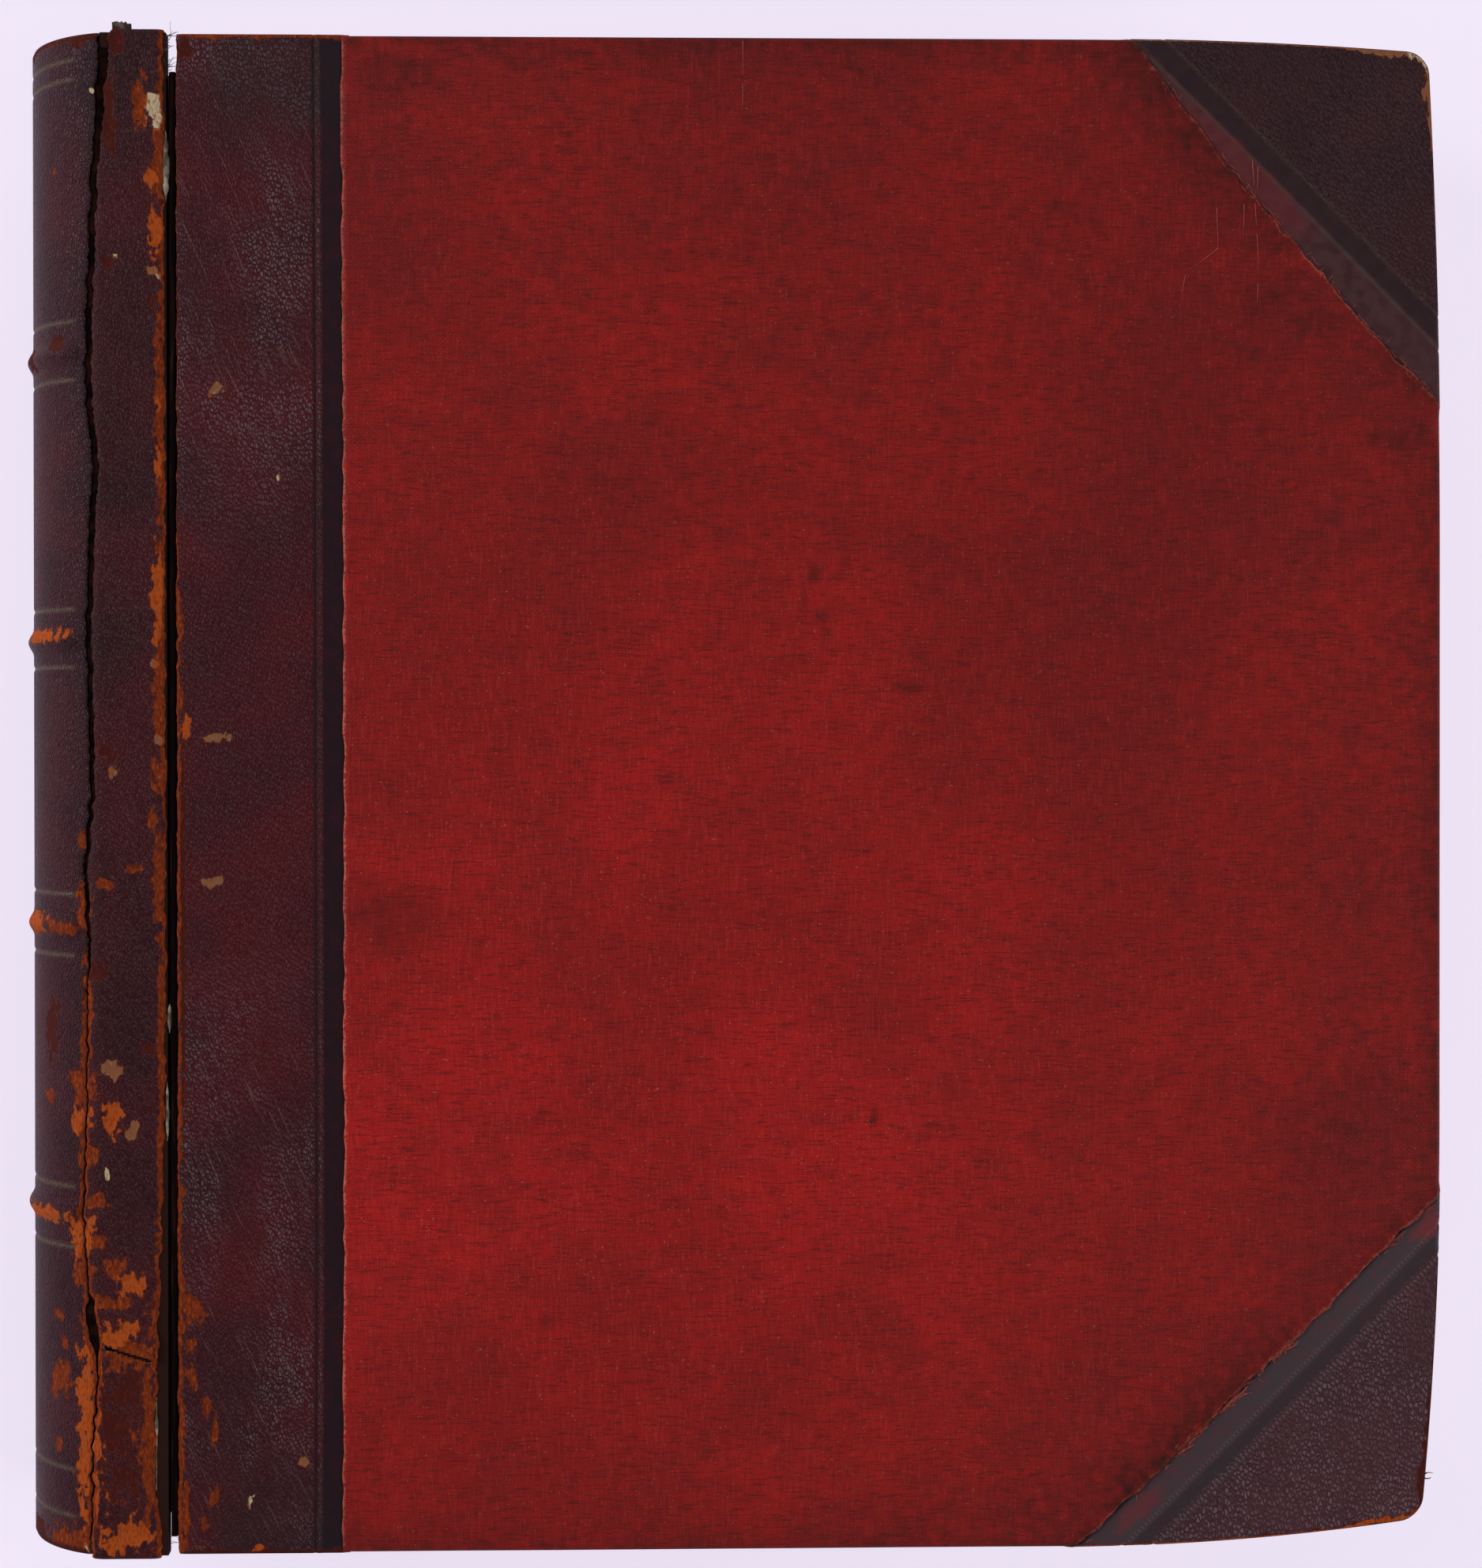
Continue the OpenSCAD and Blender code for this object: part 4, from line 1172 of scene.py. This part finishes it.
def paint_stains(x, y, marks):
    """How dark the dirt on the cloth is, from 0 to 1."""
    dirt_and_shade = np.zeros_like(x)
    for mid_x, mid_y, width, height, depth in marks:
        far = np.hypot((x - mid_x) / (width / 2), (y - mid_y) / (height / 2))
        dirt_and_shade = np.maximum(dirt_and_shade, depth * np.clip(1.5 - far, 0, 1))
    return dirt_and_shade


def book_cloth():
    """Crimson book cloth, soft in gloss, with slubs across and along. Real threads lie a
    third of a millimetre apart; they are drawn twice as coarse, or they would not show."""
    material, tree, shader = begin_material("book_cloth_crimson", 0.62, gloss=0.1)
    place = rest_place(tree, painted=True)
    across = noise(tree, place, 0.3, stretch=(13, 1, 1), detail=4.0)
    upright = noise(tree, place, 0.3, stretch=(1, 14, 1), detail=3.0)
    mottled = noise(tree, place, 4.5, stretch=(1.6, 1, 1), detail=4.0)
    grains = noise(tree, place, 0.28, detail=2.0)
    colour = blended(tree, between(tree, noise(tree, place, 70), 0.35, 0.65), "#8b1413", "#a51816")
    for value, low, high, at_low, at_high, tint in (
            (noise(tree, place, 24), 0.42, 0.7, 0.0, 0.28, "#6c1919"),
            (mottled, 0.42, 0.7, 0.0, 0.32, "#6a1617"),
            (grains, 0.4, 0.66, 0.0, 0.5, "#5c1415"),
            (across, 0.5, 0.66, 0.0, 0.7, "#4e1213"),
            (upright, 0.5, 0.7, 0.0, 0.28, "#a8322a"),
            (upright, 0.32, 0.46, 0.25, 0.0, "#5a1315"),
            (noise(tree, place, 0.55, detail=1.0), 0.7, 0.76, 0.0, 0.6, "#a85444")):
        colour = blended(tree, between(tree, value, low, high, at_low, at_high), colour, tint)
    loose = maths(tree, "MULTIPLY", painted_value(tree, "frayed"),
                  noise(tree, place, 0.8, detail=4.0))
    colour = blended(tree, between(tree, loose, 0.3, 0.5), colour, "#a8503e")
    # The cloth darkened towards brown-black by its stains, its soiling and its painted shade.
    cloudy = maths(tree, "MULTIPLY_ADD", noise(tree, place, 3, detail=8.0), 1.15, 0.2)
    dirt_and_shade_share = maths(tree, "MULTIPLY", cloudy, painted_value(tree, "dirt_and_shade"), clamp=True)
    slubs = maths(tree, "ADD", across, upright)
    height = maths(tree, "MULTIPLY_ADD", weave(tree, place, 0.62), 0.35, slubs)
    surfaced(tree, shader, blended(tree, dirt_and_shade_share, colour, "#34120f"), height, 0.07)
    return material


cloth_material = book_cloth()
cloth_edge = linen_woven("cloth_cut_edge", "#9a3a30", "#5a1a1a", 0.5, painted=True)
for side in ("front", "back"):
    reach = COVER_DEEP + TURN_IN
    cloth = flat_grid(
        f"{side}_cloth_side",
        stations(cloth_x - CLOTH_OVER, fore_x + reach, 1.5, near=(fore_x + 1,), reach=4, fine=0.56),
        stations(-half_h - reach, half_h + reach, 1.5, near=(-half_h - 1, half_h + 1), reach=4,
                 fine=0.56))
    for end in END_WAY:
        point, normal = corner_cut(CORNERS[side, end][0], end, CUT_PAST)
        cut_mesh(cloth, [point], normal, drop=True)
    drop_faces(cloth, lambda a, b: outline_past(a, b, CLOTH_GROW)[0] > reach - 0.2)
    x, y = flat_places(cloth)
    past, _, _ = outline_past(x, y, CLOTH_GROW)
    edge = np.clip((cloth_x + 0.6 - x) / 1.0, 0, 1)
    shift_x = edge * 0.3 * wander(y, 3, 51)
    soiled, curl = np.zeros_like(x), np.zeros_like(x)
    for end in END_WAY:
        legs = CORNERS[side, end][0]
        _, normal = corner_cut(legs, end)
        place, v = from_cut(x, y, legs, end, CUT_PAST)
        close = np.clip(1 + v / 1.8, 0, 1)
        frayed = close * (0.6 * wander(x, 2.9, 52) + 0.35 * wander(x, 1.1, 53))
        frayed -= np.clip(1 + v / 14, 0, 1) * hollowed(place, side, end)
        curl = np.maximum(curl, (0.25 if end == "tail" else 0.05) * close)
        x, y = x + normal[0] * frayed, y + normal[1] * frayed
        edge = np.maximum(edge, close)
        near_cut = np.clip(1 + v / 17, 0, 1)
        soiled = np.maximum(soiled, 0.34 * near_cut * (1 + 0.6 * wander(x, 19, 58)))
    turned = 1 if side == "front" else -1
    dirt_and_shade = paint_stains(turned * x, turned * y, STAINS)
    # Darker within 14 mm of the board's edges, and over them.
    rim = np.clip(1 + past / 14, 0, 1) ** 2
    # Darker away from a lit middle left of and below the centre, and towards the tail: painted shade.
    darkened_outwards = 0.75 * np.clip(np.hypot((x + 45) / 190, (y + 75) / 200) - 0.33, 0, 0.7)
    darkened_outwards = darkened_outwards + 0.2 * np.clip((-120 - y) / 50, 0, 1)
    dirt_and_shade = np.maximum(np.maximum(dirt_and_shade, soiled), 0.36 * rim) + darkened_outwards * (1 - dirt_and_shade)
    lift = 0.12 * edge + curl + 0.05 * wander(x, 21, 54) * wander(y, 27, 55)
    points = over_board(x + shift_x, y, CLOTH_GROW, lift, side)
    bend_mesh(cloth, points, {"dirt_and_shade": dirt_and_shade, "frayed": edge}, flip=side == "back")
    thicken(cloth, CLOTH_T, cloth_material, cloth_edge)
    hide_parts(f"{side}_cloth")
    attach(cloth, f"{side}_cover")

# The frayed edges of the cloth
# Where the cloth is cut across the front corners its weave has come undone: short red
# threads stand out over the leather.
THREADS = 190
# Where they bunch along each cut: middles, spreads, and how thick the threads are
BUNCHES = {"head": ([20, 45, 62, 85, 100], [9, 9, 9, 9, 9], 0.17),
           "tail": ([103, 67, 49, 34, 60], [5, 4.5, 3, 3, 30], 0.4)}
fray_cloth = linen_woven("cloth_threads_red", "#a8503e", "#7a221e", 0.9, painted=True)
rng = np.random.default_rng(56)
for end in END_WAY:
    legs = CORNERS["front", end][0]
    origin, normal = corner_cut(legs, end, 0.2)
    along_cut = np.array([legs[0], -END_WAY[end] * legs[1]]) / math.hypot(*legs)
    middles, spreads, thick = BUNCHES[end]
    bunch = rng.integers(0, len(middles), THREADS)
    place = np.array(middles)[bunch] + rng.normal(0, 1, THREADS) * np.array(spreads)[bunch]
    place = np.clip(place, 3, math.hypot(*legs) - 6)
    past_cut = rng.normal(0.25, 0.45, THREADS) - hollowed(place, "front", end)
    roots = origin[:, None] + np.outer(along_cut, place) + np.outer(normal, past_cut)
    roots_x, roots_y = bowed(*roots, "front")
    roots = np.stack([roots_x, roots_y, np.full(THREADS, top_z - 0.1)], -1)
    across = rng.random(THREADS)[:, None] > 0.8
    ways = np.where(across, [normal[0], normal[1], 0.05], [along_cut[0], along_cut[1], 0.02])
    ways = ways + rng.normal(0, (0.4, 0.4, 0.04), (THREADS, 3)) * np.where(across, 1, 0.4)
    lengths = rng.uniform(0.4, 1.6, THREADS) * np.where(across[:, 0], 1, 2.6)
    threads = loose_threads(f"cloth_threads_{end}", roots, ways, lengths, thick, 57, slack=0.12)
    threads.data.materials.append(fray_cloth)
    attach(threads, "front_cover")

# Bits of the skin's edge torn up at the tail and the fore-edge: place and way
TORN_BITS = [(135.6, -173.6, 1, -0.3), (136.6, -173.5, 0.4, -1), (137.9, -173.3, -0.2, -1),
             (167.4, -163.6, 0.8, 0.6), (167.5, -164.6, 1, -0.1), (136.2, -173.8, -0.6, -0.6)]
bits = loose_threads("corner_torn_bits", [(x, y, 54.5) for x, y, _, _ in TORN_BITS],
                     [(way_x, way_y, 0.1) for _, _, way_x, way_y in TORN_BITS],
                     [1.9] * len(TORN_BITS), 0.5, 60)
bits.data.materials.append(linen_woven("hide_torn_bits", "#5a2a20", "#2c1210", 0.9, painted=True))
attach(bits, "front_cover")

# Single threads of the cloth that were scratched pale: place, way and length
PALE_THREADS = [
    (125.3, 151, 0.1, -1, 6.5), (126.6, 149.6, 0.0, -1, 5), (125.8, 142.6, 0.06, -1, 7),
    (126.4, 133.5, 0.02, -1, 9), (126.6, 121.6, 0.0, -1, 4), (123.3, 140.7, 0.0, -1, 8.4),
    (116.8, 139.8, 0.04, -1, 9.4), (117.1, 130.2, -0.8, -0.62, 9), (109.3, 123.9, -0.2, -1, 4.8),
    (3.6, 179.0, 0.0, -1, 8), (3.5, 169.0, 0.0, -1, 7),
]
scratches = loose_threads(
    "cloth_threads_pale", [(x, y, top_z + 0.04) for x, y, *_ in PALE_THREADS],
    [(way_x, way_y, 0) for *_, way_x, way_y, _ in PALE_THREADS],
    [length for *_, length in PALE_THREADS], 0.19, 59, slack=0.03)
scratches.data.materials.append(linen_woven("cloth_threads_pale", "#a55444", "#8e2c26", 0.9, True))
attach(scratches, "front_cover")

# The endpapers
# Cream wove paper pasted on the inner face of each board, level over the turn-ins, and a
# free leaf beside each. Smooth and matt, toned where it faces the cloth and the glue.
PAPER_T = 0.3
TONED_ENDS, TONED_FRONT = (150, 178), (138, 168)


def wove_paper(name, painted):
    """Machine-made endpaper: even, with brown offsets towards its edges."""
    material, tree, shader = begin_material(name, 0.75)
    place = rest_place(tree, painted)
    toned = blended(tree, noise(tree, place, 60), "#d6cbb0", "#c9bb99")
    patchy = near_edges(tree, place, TONED_ENDS, TONED_FRONT, 9)
    offset = blended(tree, patchy, toned, "#9d8459")
    foxed = blended(tree, between(tree, noise(tree, place, 4), 0.7, 0.8), offset, "#a07a48")
    surfaced(tree, shader, foxed, noise(tree, place, 0.8), 0.05)
    return material


paper_material = wove_paper("endpaper_wove", painted=True)
flyleaf_material = wove_paper("flyleaf_wove", painted=False)
for side in ("front", "back"):
    dress(f"{side}_flyleaf", flyleaf_material)
    low, high = box_mm(f"{side}_pastedown")
    paper = flat_grid(f"{side}_pastedown_paper", np.linspace(low[0], high[0], 90),
                      np.linspace(low[1], high[1], 110))
    x, y = flat_places(paper)
    cockle = 0.05 * wander(x, 24, 61) * wander(y, 31, 62)
    level = low[2] + PAPER_T if side == "front" else high[2]
    bx, by = bowed(x, y, side)
    bend_mesh(paper, (bx, by, level + cockle), {})
    thicken(paper, PAPER_T, paper_material)
    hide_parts(f"{side}_pastedown")
    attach(paper, f"{side}_cover")

# The floor, the light and the camera
# A pale lavender-white table under soft daylight from the upper left, seen from above.
FLOOR_SEEN = "#f6ecff"
LENS = 62.17
CAMERA_AT = (-30.9, 11.1, 700.0)
CAMERA_TURN = (-0.004968, -0.022169, -0.001028)
CAMERA_SHIFT = (0.052785, -0.014496)

HALF_FLOOR = 3.0
FLOOR_DROP = 0.35
plan = [(a * HALF_FLOOR, b * HALF_FLOOR, 0) for a, b in ((-1, -1), (1, -1), (1, 1), (-1, 1))]
floor = quad_mesh("floor", np.array(plan), np.array([0, 1, 2, 3]))
floor.location.z = -FLOOR_DROP * MM
floor_material, tree, shader = begin_material("floor_paper_pale", 0.9)
shader.inputs["Base Color"].default_value = linear("#ece6f7")
seen = add(tree, "ShaderNodeEmission", {"Color": linear(FLOOR_SEEN), "Strength": 1.0})
looked_at = add(tree, "ShaderNodeLightPath").outputs["Is Camera Ray"]
both = add(tree, "ShaderNodeMixShader", {0: maths(tree, "MULTIPLY", looked_at, 0.75),
                                         1: shader.outputs[0], 2: seen.outputs[0]})
output = next(node for node in tree.nodes if node.type == "OUTPUT_MATERIAL")
tree.links.new(both.outputs[0], output.inputs["Surface"])
floor.data.materials.append(floor_material)

world = bpy.data.worlds.new("soft_daylight")
bpy.context.scene.world = world
world.use_nodes = True
sky = world.node_tree
daylight = sky.nodes["Background"]
daylight.inputs["Color"].default_value = linear("#f4f0f8")
daylight.inputs["Strength"].default_value = 0.12
bright = add(sky, "ShaderNodeBackground", {"Color": linear(FLOOR_SEEN), "Strength": 1.0})
looked_at = add(sky, "ShaderNodeLightPath").outputs["Is Camera Ray"]
shown = add(sky, "ShaderNodeMixShader",
            {0: looked_at, 1: daylight.outputs[0], 2: bright.outputs[0]})
sky.links.new(shown.outputs[0], sky.nodes["World Output"].inputs["Surface"])


WINDOW_SIZE = 0.9
WINDOWS = {"left": ((-1.3, 0.4, 0.6), 21), "right": ((1.3, -0.3, 0.6), 16),
           "head": ((0.1, 1.4, 0.65), 8), "tail": ((-0.1, -1.4, 0.65), 6)}


def window(name, place, power):
    """A large soft lamp that looks at the middle of the album."""
    lamp = bpy.data.lights.new(name, "AREA")
    lamp.shape = "SQUARE"
    lamp.size = WINDOW_SIZE
    lamp.energy = power
    holder = placed(name, lamp)
    holder.location = place
    holder.rotation_euler = (-Vector(place)).to_track_quat("-Z", "Y").to_euler()


for way, (place, power) in WINDOWS.items():
    window(f"window_{way}", place, power)

camera_data = bpy.data.cameras.new("camera")
camera_data.lens = LENS
camera_data.sensor_width = 36
camera_data.shift_x, camera_data.shift_y = CAMERA_SHIFT
camera_data.clip_start = 0.01
camera = placed("camera", camera_data)
camera.location = [place * MM for place in CAMERA_AT]
camera.rotation_euler = CAMERA_TURN
bpy.context.scene.camera = camera
bpy.context.scene.view_settings.view_transform = "Standard"
